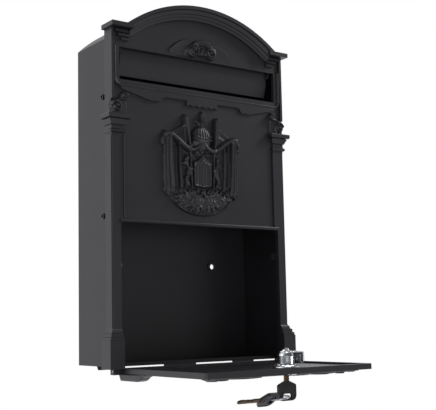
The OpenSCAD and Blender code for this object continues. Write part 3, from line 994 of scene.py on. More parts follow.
@dataclass
class PedimentRelief:
    """Double volute under a shell, with a leaf wing on each side, applied to the tympanum."""

    volute_r: float = 7.7
    volute_x: float = 12.4
    top: float = 8.0
    lift: float = 4.2

    def build(self) -> bpy.types.Object:
        """Builds the ornament.

        Returns:
            The mesh object.
        """
        low, high = box_mm("pediment_ornament")
        reach = high[0] + 4
        edge = math.ceil(2 * reach) / 2
        art = ReliefField((-edge, -10.0), (edge, 20.0), 0.5)
        self.draw_wing(art)
        self.draw_volute(art)
        art.mirror()
        self.draw_shell(art)
        mid_z = low[2] + self.lift
        return art.build("pediment_relief", on_front(high[1], mid_z))

    def draw_wing(self, art: ReliefField) -> None:
        """Draws the smooth, shallow leaf that runs out from the volute and dies on the ground.

        Args:
            art: Relief that receives it.
        """
        back = curve_through([(10.0, 10.5), (21.0, 11.0), (31.0, 8.0), (42.5, -1.3)])
        art.rope(back, 1.2, 2.6, 0.6, 0.6)
        crown = np.interp(art.across, back[:, 0], back[:, 1])
        inside = (art.across > 10.0) & (art.across < 42.5) & (art.up < crown) & (art.up > -7.0)
        rise = np.clip((art.up + 7.0) / np.maximum(crown + 7.0, 1.0), 0, 1)
        art.height = np.maximum(art.height, np.where(inside, 2.4 * rise**0.8, 0))
        art.rope(curve_through([(19.0, 6.0), (20.8, 0.5), (20.4, -5.0)]), 0.9, 2.8, 1.0, 0.7)

    def draw_volute(self, art: ReliefField) -> None:
        """Draws the drum of the volute with its coiled band and its eye.

        Args:
            art: Relief that receives it.
        """
        middle = (self.volute_x, 0.0)
        art.dome(middle, (self.volute_r, self.volute_r), self.top - 3.0, self.top - 3.6)
        coil = spiral(middle, self.volute_r - 1.0, 1.3, 100.0, core=0.34)
        art.rope(coil, 1.15, self.top, self.top - 3.4, 0.9)
        art.dome(middle, (1.5, 1.5), self.top - 0.6, self.top - 3.4)

    def draw_shell(self, art: ReliefField) -> None:
        """Draws the rolled crest over the volutes and the tie between them.

        Args:
            art: Relief that receives it.
        """
        roll = curve_through([(-10.4, 8.6), (-4.0, 10.4), (4.0, 10.4), (10.4, 8.6)])
        art.rope(roll, 2.6, self.top + 0.4, 1.2, 2.6)
        art.rope(curve_through([(-9.0, 6.8), (0.0, 7.6), (9.0, 6.8)]), 1.6, self.top - 1.4, 1.2)
        art.plate([(-6.0, -4.5), (6.0, -4.5), (7.0, 7.0), (-7.0, 7.0)], 3.4)
        art.dome((0.0, -0.5), (2.6, 5.0), 5.6, 2.6)


@dataclass
class ConsoleRelief:
    """S-shaped console above a capital: a large lower volute, a small upper one and a block."""

    block_top: float = 2.4
    top: float = 6.0

    def build(self) -> bpy.types.Object:
        """Builds both consoles as one mesh.

        Returns:
            The mesh object.
        """
        low, high = box_mm("console_scrolls")
        edge = math.ceil(2 * (high[0] + 3.0)) / 2
        tall = high[2] - low[2]
        art = ReliefField((-edge, -1.0), (edge, tall + 1.0), 0.5)
        outer = high[0]
        lower = (outer - 6.8, 8.2)
        upper = (outer - 17.2, tall - 4.8)
        self.draw_block(art, outer, upper)
        self.draw_scroll(art, lower, 6.6, 1.35, 60.0)
        self.draw_scroll(art, upper, 4.8, -1.2, -120.0)
        neck = curve_through(
            [
                (upper[0] - 1.0, upper[1] - 4.0),
                (upper[0] + 3.2, upper[1] - 4.6),
                (lower[0] + 1.5, lower[1] + 6.2),
                (lower[0] + 5.6, lower[1] + 2.0),
            ]
        )
        art.rope(neck, 1.3, self.top + 0.4, self.block_top - 1.0, 1.5)
        art.mirror()
        return art.build("console_relief", on_front(high[1], low[2]))

    def draw_block(self, art: ReliefField, outer: float, upper: Point) -> None:
        """Draws the flat block behind the scrolls.

        Args:
            art: Relief that receives it.
            outer: Outer side of the block.
            upper: Middle of the upper scroll.
        """
        inner = outer - 20.2
        slope = [(upper[0] + 2.0, upper[1] + 2.0), (outer - 3.0, 12.5), (outer - 1.0, 0.0)]
        art.plate([(inner, 0.0), (inner, upper[1]), *slope], self.block_top, 0.6)

    def draw_scroll(
        self, art: ReliefField, middle: Point, radius: float, turns: float, start: float
    ) -> None:
        """Draws one scroll: a sunk drum with a coiled band and an eye.

        Args:
            art: Relief that receives it.
            middle: Middle of its eye.
            radius: Its outer radius.
            turns: Turns of the band; a negative number winds clockwise.
            start: Angle of the band's outer end in degrees.
        """
        art.dome(middle, (radius, radius), self.top - 2.6, self.top - 3.2)
        art.rope(spiral(middle, radius - 1.0, turns, start, 0.3), 1.15, self.top + 0.6, self.top - 3.0, 0.8)
        art.dome(middle, (0.22 * radius, 0.22 * radius), self.top + 0.2, self.top - 3.0)


@dataclass
class DoorRelief:
    """Relief under the open door: a console block at each side and leaf scrolls at the corners.

    Attributes:
        block_w: Width of a side block.
        block_len: Length of a side block from the free edge.
        ogee_run: Places along the block, as shares of its length.
        ogee_rise: Depth of the block at each place, as a share of its full depth.
        flutes: Places of its ridges, as shares of its width.
        grid: Spacing of the points of the relief.
    """

    block_w: float = 11.0
    block_len: float = 52.0
    ogee_run: tuple[float, ...] = (-0.1, 0.0, 0.68, 0.74, 0.82, 0.9, 0.97, 1.0)
    ogee_rise: tuple[float, ...] = (0.0, 1.0, 1.0, 0.93, 0.72, 0.34, 0.2, 0.0)
    flutes: tuple[float, ...] = (0.2, 0.5, 0.8)
    grid: float = 0.75

    def build(self) -> bpy.types.Object:
        """Builds the relief on the outer face of the door.

        Returns:
            The mesh object.
        """
        panel_low, panel_high = box_mm("door_panel")
        half = panel_high[0]
        length = panel_high[1] - panel_low[1]
        deep = panel_low[2] - box_mm("door_relief")[0][2]
        art = ReliefField((-half - 0.9, -0.8), (half + 0.9, length + 0.8), self.grid)
        self.draw_block(art, half, length, deep)
        self.draw_scroll(art)
        self.draw_border(art, half, length)
        art.mirror()
        return art.build(
            "door_scroll_relief", lambda u, v, h: np.stack([u, panel_low[1] + v, panel_low[2] - h], 1)
        )

    def draw_block(self, art: ReliefField, half: float, length: float, deep: float) -> None:
        """Draws the side block that falls in an ogee towards the free edge.

        Args:
            art: Relief that receives it.
            half: Half the width of the door.
            length: Length of the door, from its hinge to its free edge.
            deep: Full depth of the block.
        """
        inside = (art.across > half - self.block_w) & (art.across < half)
        run = (length - art.up) / self.block_len
        ogee = np.interp(run, self.ogee_run, self.ogee_rise)
        art.height = np.maximum(art.height, np.where(inside & (art.up < length), deep * ogee, 0))
        for share in self.flutes:
            ridge = half - self.block_w * share
            path = np.array([(ridge, length - 2.0), (ridge, length - 0.66 * self.block_len)])
            art.rope(path, 1.1, deep + 0.5, deep - 0.6)

    def draw_scroll(self, art: ReliefField) -> None:
        """Draws the leaf scroll near the free corner.

        Args:
            art: Relief that receives it.
        """
        art.rope(spiral((68.0, 40.0), 13.0, 1.75, 160.0), 2.6, 4.8, 0.8, 1.6)
        art.dome((68.0, 40.0), (3.4, 3.4), 4.6, 1.0)
        art.rope(curve_through([(55.4, 44.0), (48.0, 34.0), (34.0, 29.0), (18.0, 31.0)]), 2.6, 4.4, 0.6, 1.2)
        art.leaf((50.0, 33.0), (38.0, 44.0), 4.4, 3.8, 0.6, bend=0.2)
        art.leaf((36.0, 29.5), (24.0, 21.0), 4.0, 3.6, 0.6, bend=0.2)
        art.leaf((20.0, 31.0), (4.0, 34.0), 3.6, 3.6, 0.6)
        art.rope(spiral((82.0, 25.0), 8.0, -1.4, 150.0), 2.0, 4.4, 0.7, 1.2)
        art.leaf((76.0, 30.0), (90.0, 36.0), 4.0, 3.8, 0.6, bend=-0.2)
        art.leaf((84.0, 18.0), (96.0, 12.0), 3.4, 3.4, 0.6, bend=0.2)
        art.leaf((66.0, 53.0), (52.0, 66.0), 4.4, 3.8, 0.6, bend=-0.15)
        art.leaf((72.0, 52.5), (78.0, 70.0), 4.4, 3.8, 0.6, bend=0.15)

    def draw_border(self, art: ReliefField, half: float, length: float) -> None:
        """Draws the raised fillet round the door's outer face.

        Args:
            art: Relief that receives it.
            half: Half the width of the door.
            length: Length of the door, from its hinge to its free edge.
        """
        inner = half - self.block_w - 4
        corners = [(0.0, 7.0), (inner, 7.0), (inner, length - 10.0), (0.0, length - 10.0)]
        art.rope(np.array(corners), 1.2, 1.4, 0.3)


@dataclass
class SlotBead:
    """Half-round bead round the sides and foot of the mail slot, with a fillet down each shaft.

    Attributes:
        half_w: Half the width of the bead.
        top: How far it stands proud of the front.
        outside: Distance from the end of the flap to its middle.
        below: Distance from the hanging edge of the flap down to its middle.
        above: Distance from the flap's rod housing down to the top of the slot.
        corner: Radius of its middle line at the lower corners.
        fillet_in: Distance from the outer side of a shaft to its fillet.
        capital_h: Height of a capital, under the console.
        rail_gap: Distance from the foot of the badge down to the foot of a fillet.
    """

    half_w: float = 1.9
    top: float = 2.9
    outside: float = 11.6
    below: float = 13.5
    above: float = 6.5
    corner: float = 7.6
    fillet_in: float = 14.9
    capital_h: float = 23.0
    rail_gap: float = 6.0

    def build(self) -> bpy.types.Object:
        """Builds the bead.

        Returns:
            The mesh object.
        """
        low, high = box_mm("flap_panel")
        front = box_mm("crest_badge")[1][1]
        side = high[0] + self.outside
        foot = low[2] - self.below
        turn = [
            (side - self.corner * (1 - math.cos(a)), foot + self.corner * (1 - math.sin(a)))
            for a in np.linspace(0, math.pi / 2, 9)
        ]
        badge = box_mm("crest_badge")[0][2] - self.rail_gap
        console_low, console_high = box_mm("console_scrolls")
        fillet = console_high[0] - 1.6 - self.fillet_in
        edge = math.ceil(2 * (side + 3.0)) / 2
        art = ReliefField((-edge, badge - 2.0), (edge, high[2] - self.above + 1.0), 0.4)
        art.rope(np.array([(fillet, badge), (fillet, console_low[2] - self.capital_h)]), 1.0, 3.2, 1.2)
        path = np.array([(side, high[2] - self.above), *turn, (0.0, foot)])
        art.rope(path, self.half_w, self.top, 0.5)
        art.mirror()
        return art.build("slot_bead", on_front(front, 0.0), rounds=0)


# ---------------------------------------------------------------------------------------
# Lock, keys and ring
# ---------------------------------------------------------------------------------------


def skin(
    name: str, rings: np.ndarray, wrap: bool = False, place: Optional[Matrix] = None
) -> bpy.types.Object:
    """Skins a row of rings that all have the same number of points.

    Args:
        name: Name of the object.
        rings: Array of rings, points and coordinates in millimetres.
        wrap: Whether the last ring joins the first; otherwise both ends are capped.
        place: Placing of the rings in the frame, in millimetres.

    Returns:
        The mesh object.
    """
    count, around = rings.shape[:2]
    faces = []
    for i in range(count if wrap else count - 1):
        here, there = i * around, (i + 1) % count * around
        for j in range(around):
            k = (j + 1) % around
            faces.append((here + j, here + k, there + k, there + j))
    if not wrap:
        faces.append(tuple(reversed(range(around))))
        faces.append(tuple(range((count - 1) * around, count * around)))
    points = rings.reshape(-1, 3)
    if place is not None:
        turn = np.array(place)
        points = points @ turn[:3, :3].T + turn[:3, 3]
    piece = mesh_object(name, points, faces, smooth=True)
    outward(piece)
    return piece


def outward(piece: bpy.types.Object) -> None:
    """Turns the faces of a closed mesh outwards.

    Args:
        piece: The piece.
    """
    work = bmesh.new()
    work.from_mesh(piece.data)
    bmesh.ops.remove_doubles(work, verts=work.verts, dist=0.002 * MM)
    bmesh.ops.recalc_face_normals(work, faces=work.faces)
    work.to_mesh(piece.data)
    work.free()


def turned(
    name: str,
    profile: Sequence[Point],
    middle: Point3,
    limit: Optional[Callable[[np.ndarray], np.ndarray]] = None,
    segments: int = 72,
) -> bpy.types.Object:
    """Turns a closed profile round an upright axis.

    Args:
        name: Name of the object.
        profile: Closed outline as radius and height pairs.
        middle: Point of the axis at height 0.
        limit: Largest radius at each angle, as on a hexagon.
        segments: Steps round the axis.

    Returns:
        The mesh object.
    """
    angle = np.linspace(0, 2 * math.pi, segments, endpoint=False)
    radius, height = np.array(profile, float).T
    reach = np.repeat(radius[None, :], segments, 0)
    if limit is not None:
        reach = np.minimum(reach, limit(angle)[:, None])
    x = reach * np.cos(angle)[:, None]
    y = reach * np.sin(angle)[:, None]
    z = np.repeat(height[None, :], segments, 0)
    rings = np.stack([x, y, z], 2) + np.array(middle)
    return skin(name, rings, wrap=True)


def rounded_rect(width: float, height: float, corner: float, steps: int = 4) -> list[Point]:
    """Returns the outline of a rectangle with round corners, centred on 0.

    Args:
        width: Width of the rectangle.
        height: Height of the rectangle.
        corner: Radius of its corners.
        steps: Steps round one corner.

    Returns:
        Points of the outline.
    """
    points = []
    for turn in range(4):
        sx, sy = ((1, 1), (-1, 1), (-1, -1), (1, -1))[turn]
        for step in range(steps + 1):
            a = math.radians(90 * (turn + step / steps))
            across = sx * (width / 2 - corner) + corner * math.cos(a)
            up = sy * (height / 2 - corner) + corner * math.sin(a)
            points.append((across, up))
    return points


def cut_plate(
    name: str, outlines: Sequence[Sequence[Point]], thickness: float, rounding: float
) -> bpy.types.Object:
    """Makes a plate with rounded edges from an outline and its holes.

    Args:
        name: Name of the object.
        outlines: The outer outline, then one for each hole.
        thickness: Thickness of the plate.
        rounding: Radius of its edges.

    Returns:
        The mesh object, centred on the XY plane.
    """
    curve = bpy.data.curves.new(name, "CURVE")
    curve.dimensions = "2D"
    curve.fill_mode = "BOTH"
    curve.extrude = (thickness / 2 - rounding) * MM
    curve.bevel_depth = rounding * MM
    curve.bevel_resolution = 3
    curve.offset = -rounding * MM
    for outline in outlines:
        spline = curve.splines.new("POLY")
        spline.points.add(len(outline) - 1)
        spline.use_cyclic_u = True
        for point, (x, y) in zip(spline.points, outline):
            point.co = (x * MM, y * MM, 0.0, 1.0)
    source = bpy.data.objects.new(name, curve)
    bpy.context.scene.collection.objects.link(source)
    mesh = bpy.data.meshes.new_from_object(source)
    bpy.data.objects.remove(source)
    piece = bpy.data.objects.new(name, mesh)
    bpy.context.scene.collection.objects.link(piece)
    outward(piece)
    shade_smooth(piece, 40.0)
    return piece


def shade_smooth(piece: bpy.types.Object, angle: float) -> None:
    """Shades a piece smooth and keeps edges above an angle in degrees sharp."""
    piece.data.polygons.foreach_set("use_smooth", [True] * len(piece.data.polygons))
    piece.data.set_sharp_from_angle(angle=math.radians(angle))


def move_mesh(piece: bpy.types.Object, place: Matrix) -> None:
    """Moves the mesh of a piece by a placing in millimetres.

    Args:
        piece: The piece.
        place: Placing, in millimetres.
    """
    metres = place.copy()
    metres.translation = place.translation * MM
    piece.data.transform(metres)
    piece.data.update()


def join(name: str, pieces: Sequence[bpy.types.Object]) -> bpy.types.Object:
    """Joins pieces into the first one and names it.

    Args:
        name: Name of the joined object.
        pieces: Pieces to join.

    Returns:
        The mesh object.
    """
    work = bmesh.new()
    for piece in pieces:
        work.from_mesh(piece.data)
    work.to_mesh(pieces[0].data)
    work.free()
    for piece in pieces[1:]:
        bpy.data.objects.remove(piece)
    pieces[0].name = name
    return pieces[0]


@dataclass
class CamLock:
    """Cam lock: a threaded barrel, its nut and washer, and a cranked cam.

    Attributes:
        bore_r: Radius of the bore for the plug.
        flange_lip: How far the face flange stands out past the barrel.
        pitch: Pitch of the thread, drawn coarse enough to show.
        thread_depth: Depth of the thread.
        cam_t: Thickness of the cam.
        bend_r: Radius of the bend of the cam.
        tip_r: Radius of the corners at the tip of the cam.
    """

    bore_r: float = 4.3
    flange_lip: float = 2.4
    pitch: float = 1.1
    thread_depth: float = 0.42
    cam_t: float = 1.6
    bend_r: float = 2.4
    tip_r: float = 3.0

    def build_barrel(self) -> bpy.types.Object:
        """Builds the threaded barrel with its face flange.

        Returns:
            The mesh object.
        """
        low, high = box_mm("lock_body")
        door = box_mm("door_panel")
        flange_r = (high[0] - low[0]) / 2
        barrel_r = flange_r - self.flange_lip
        flange_t = door[0][2] - low[2]
        tall = high[2] - low[2]
        thread_from = door[1][2] - low[2]
        profile = [
            (self.bore_r, 0.0),
            (flange_r - 2.6, 0.0),
            (flange_r - 0.9, 0.25 * flange_t),
            (flange_r, 0.7 * flange_t),
            (flange_r, flange_t),
            (barrel_r, flange_t),
            (barrel_r, thread_from),
        ]
        for turn in range(int((tall - thread_from - 1.0) / self.pitch)):
            foot = thread_from + turn * self.pitch
            profile.append((barrel_r - self.thread_depth, foot + 0.25 * self.pitch))
            profile.append((barrel_r, foot + 0.75 * self.pitch))
        profile += [
            (barrel_r - self.thread_depth, tall - 0.9),
            (barrel_r - 0.7, tall),
            (self.bore_r, tall),
        ]
        middle = ((low[0] + high[0]) / 2, (low[1] + high[1]) / 2, low[2])
        barrel = turned("lock_barrel", profile, middle, segments=96)
        shade_smooth(barrel, 24.0)
        return barrel

    def build_nut(self) -> bpy.types.Object:
        """Builds the hexagon nut with its chamfers and its washer face.

        Returns:
            The mesh object.
        """
        low, high = box_mm("lock_nut")
        washer_r = (high[0] - low[0]) / 2
        flat = (washer_r - 2.0) * math.cos(math.radians(30)) + 0.6
        tall = high[2] - low[2]
        bore = box_mm("lock_body")
        inner = (bore[1][0] - bore[0][0]) / 2 - self.flange_lip
        profile = [
            (inner, 0.0),
            (washer_r - 0.3, 0.0),
            (washer_r, 0.3),
            (washer_r, 0.8),
            (washer_r - 0.4, 1.1),
            (flat + 0.35, 1.2),
            (washer_r, 1.9),
            (washer_r, tall - 0.8),
            (flat - 0.1, tall),
            (inner + 0.5, tall),
            (inner, tall - 0.5),
        ]

        def hexagon(angle: np.ndarray) -> np.ndarray:
            """Returns the radius of the hexagon at each angle."""
            return flat / np.cos((angle + math.pi / 6) % (math.pi / 3) - math.pi / 6)

        middle = ((low[0] + high[0]) / 2, (low[1] + high[1]) / 2, low[2])
        nut = turned("lock_nut_hex", profile, middle, limit=hexagon, segments=120)
        washer = turned(
            "lock_washer",
            [(inner, 0.0), (washer_r - 0.25, 0.0), (washer_r, 0.35), (washer_r - 0.15, 0.95), (inner, 1.15)],
            middle,
        )
        shade_smooth(nut, 28.0)
        shade_smooth(washer, 40.0)
        return join("lock_nut_and_washer", [nut, washer])

    def build_cam(self) -> bpy.types.Object:
        """Builds the cranked cam as a strip bent down at its end.

        Returns:
            The mesh object.
        """
        low, high = box_mm("lock_cam")
        axis = box_mm("lock_body")
        centre = ((axis[0][0] + axis[1][0]) / 2, (axis[0][1] + axis[1][1]) / 2)
        half_w = (high[1] - low[1]) / 2
        top = high[2] - self.cam_t / 2
        reach = high[0] - centre[0] - self.cam_t / 2
        drop = high[2] - low[2] - self.cam_t / 2
        bend_r = self.bend_r
        stations = [(x, top, 0.0) for x in np.linspace(-half_w + 0.02, reach - bend_r, 26)]
        for a in np.linspace(10, 90, 8):
            turn = math.radians(a)
            x = reach - bend_r + bend_r * math.sin(turn)
            stations.append((x, top - bend_r + bend_r * math.cos(turn), turn))
        stations += [(reach, top - z, math.pi / 2) for z in np.linspace(bend_r + 0.5, drop - 0.02, 12)]
        rings = []
        for x, z, turn in stations:
            half = half_w
            if x < 0:
                half = math.sqrt(max(half_w**2 - x**2, 0.05))
            tip = z - (top - drop)
            if turn == math.pi / 2 and tip < self.tip_r:
                rounding = math.sqrt(max(self.tip_r**2 - (self.tip_r - tip) ** 2, 0.02))
                half = half_w - self.tip_r + rounding
            section = rounded_rect(2 * half, self.cam_t, 0.45)
            up = (math.sin(turn), math.cos(turn))
            rings.append([(x + t * up[0] + centre[0], centre[1] + w, z + t * up[1]) for w, t in section])
        cam = skin("lock_cam_cranked", np.array(rings))
        shade_smooth(cam, 45.0)
        return cam


@dataclass
class Key:
    """Key with a moulded bow, slotted for the ring, and a grooved, bitted blade.

    Its own axes put the top of the bow at height 0 and point the blade up.

    Attributes:
        prefix: Start of the names of its pieces.
        place: Placing of its own axes in the frame.
        reach: Length of the blade past its neck.
        bow_w: Width of the bow.
        bow_h: Height of the bow.
        bow_t: Thickness of the bow at its rim.
        slot_drop: Distance from the top of the bow down to the middle of its slot.
        slot_size: Width, height and corner radius of the slot.
        slot_rim_size: The same for the raised border round the slot.
        core_sunk: How much thinner the core of the bow is than its rim.
        rim_w: Width of the raised rim.
        grip_pitch: Distance between two of the grip bars.
        blade_w: Width of the blade.
        blade_t: Thickness of the blade.
        cuts: Depths of the bitting, over and over along the blade.
        cut_pitch: Distance between two cuts.
        neck: Height at which the blade leaves the neck.
    """

    prefix: str
    place: Matrix
    reach: float
    bow_w: float
    bow_h: float
    bow_t: float
    slot_drop: float = 14.9
    slot_size: Point3 = (11.6, 4.8, 2.1)
    slot_rim_size: Point3 = (14.0, 7.2, 2.8)
    core_sunk: float = 0.9
    rim_w: float = 1.5
    grip_pitch: float = 1.9
    blade_w: float = 6.4
    blade_t: float = 1.8
    cuts: tuple[float, ...] = (0.0, 0.9, 1.7, 0.6, 1.4, 0.4)
    cut_pitch: float = 2.6
    neck: float = 6.0

    def bow_outline(self, inset: float) -> list[Point]:
        """Returns the outline of the bow, moved in by inset, with rounded corners.

        Args:
            inset: Distance that the outline is moved in.

        Returns:
            Points of the outline.
        """
        half = self.bow_w / 2 - inset
        foot = -self.bow_h + inset
        top = -inset
        right = [
            (2.6, top),
            (half - 0.8, top - 3.4),
            (half, top - 4.8),
            (half, foot + 4.6),
            (half - 1.5, foot + 1.4),
            (half - 4.8, foot),
        ]
        loop = right + [(-x, y) for x, y in reversed(right)]
        smooth = []
        count = len(loop)
        for i in range(count):
            before = np.array(loop[i - 1])
            here = np.array(loop[i])
            after = np.array(loop[(i + 1) % count])
            soft = min(1.0, 0.4 * np.linalg.norm(before - here), 0.4 * np.linalg.norm(after - here))
            a = here + (before - here) / np.linalg.norm(before - here) * soft
            b = here + (after - here) / np.linalg.norm(after - here) * soft
            for t in np.linspace(0, 1, 5):
                smooth.append(tuple((1 - t) ** 2 * a + 2 * t * (1 - t) * here + t**2 * b))
        return smooth

    def build_bow(self) -> bpy.types.Object:
        """Builds the bow: a core with a raised rim and a raised slot border.

        Returns:
            The mesh object.
        """
        slot = [(x, y - self.slot_drop) for x, y in rounded_rect(*self.slot_size)]
        border = [(x, y - self.slot_drop) for x, y in rounded_rect(*self.slot_rim_size)]
        core = cut_plate("core", [self.bow_outline(0.5), slot], self.bow_t - self.core_sunk, 0.3)
        rim = cut_plate("rim", [self.bow_outline(0.0), self.bow_outline(self.rim_w)], self.bow_t, 0.45)
        ring_rim = cut_plate("ring_rim", [border, slot], self.bow_t - 0.1, 0.4)
        grips = []
        for row in range(3):
            lift = self.grip_pitch * row
            bar = [(x, y - 6.6 + lift) for x, y in rounded_rect(9.0 - 1.2 * row, 0.9, 0.4)]
            grips.append(cut_plate("grip", [bar], self.bow_t - 0.3, 0.25))
        bow = join(f"{self.prefix}_bow_moulded", [core, rim, ring_rim, *grips])
        stand = self.place @ Matrix.Rotation(math.radians(90), 4, "X")
        move_mesh(bow, stand)
        return bow

    def build_blade(self) -> bpy.types.Object:
        """Builds the blade with a groove in each side and bitting along one edge.

        Returns:
            The mesh object.
        """
        half = self.blade_w / 2
        thick = self.blade_t / 2
        section = [
            (-half, -0.5 * thick), (-half + 0.5, -thick), (0.2, -thick), (0.5, -0.45 * thick),
            (1.3, -0.45 * thick), (1.6, -thick), (half - 0.4, -thick), (half, -0.5 * thick),
            (half, 0.5 * thick), (half - 0.4, thick), (-0.4, thick), (-0.7, 0.45 * thick),
            (-1.5, 0.45 * thick), (-1.8, thick), (-half + 0.5, thick), (-half, 0.5 * thick),
        ]
        foot = -6.5
        tip = self.neck + self.reach
        rings = []
        for z in np.arange(foot, tip + 0.01, 0.35):
            along = (z - self.neck - 1.5) / self.cut_pitch
            depth = 0.0
            if along > 0:
                nearest = int(round(along)) % len(self.cuts)
                ease = max(0.0, 1 - abs(along - round(along)) * 2.2)
                depth = self.cuts[nearest] * min(1.0, 1.6 * ease) + 0.35
            point = max(0.0, z - (tip - 2.4)) / 2.4
            low_edge = -half + 1.9 * point
            high_edge = half - max(depth, 1.9 * point)
            rings.append([(min(max(x, low_edge), high_edge), y, z) for x, y in section])
        blade = skin(f"{self.prefix}_blade_cut", np.array(rings), place=self.place)
        shade_smooth(blade, 30.0)
        return blade


@dataclass
class KeyRing:
    """Split ring: two turns of bright wire that lie against each other.

    Attributes:
        wire_r: Radius of the wire.
        around: Points round the wire.
        steps: Points along both turns.
        start: Angle at which the wire begins, in radians.
        turn_gap: Distance between the two turns, as a share of the wire's radius.
    """

    wire_r: float = 0.62
    around: int = 12
    steps: int = 161
    start: float = 0.6
    turn_gap: float = 1.28

    def build(self, near: Vector, far: Vector, hinge: Vector) -> bpy.types.Object:
        """Builds the ring between its two keys.

        Args:
            near: Point where it hangs in the first key.
            far: Point where it holds the spare key.
            hinge: Direction that it swings about.

        Returns:
            The mesh object.
        """
        centre = (near + far) / 2
        out = (far - near).normalized()
        side = hinge.normalized()
        up = out.cross(side)
        radius = (far - near).length / 2
        turns = np.linspace(0, 2, self.steps)
        rings = []
        for turn in turns:
            a = turn * 2 * math.pi + self.start
            spoke = out * math.cos(a) + side * math.sin(a)
            rise = (turn - 1) * self.turn_gap * self.wire_r
            middle = centre + spoke * radius + up * rise
            taper = min(1.0, 0.35 + min(turn, 2 - turn) * 14)
            rings.append(
                [
                    middle + (spoke * math.cos(b) + up * math.sin(b)) * self.wire_r * taper
                    for b in np.linspace(0, 2 * math.pi, self.around, endpoint=False)
                ]
            )
        return skin("split_ring", np.array(rings, float))


# ---------------------------------------------------------------------------------------
# Scene
# ---------------------------------------------------------------------------------------


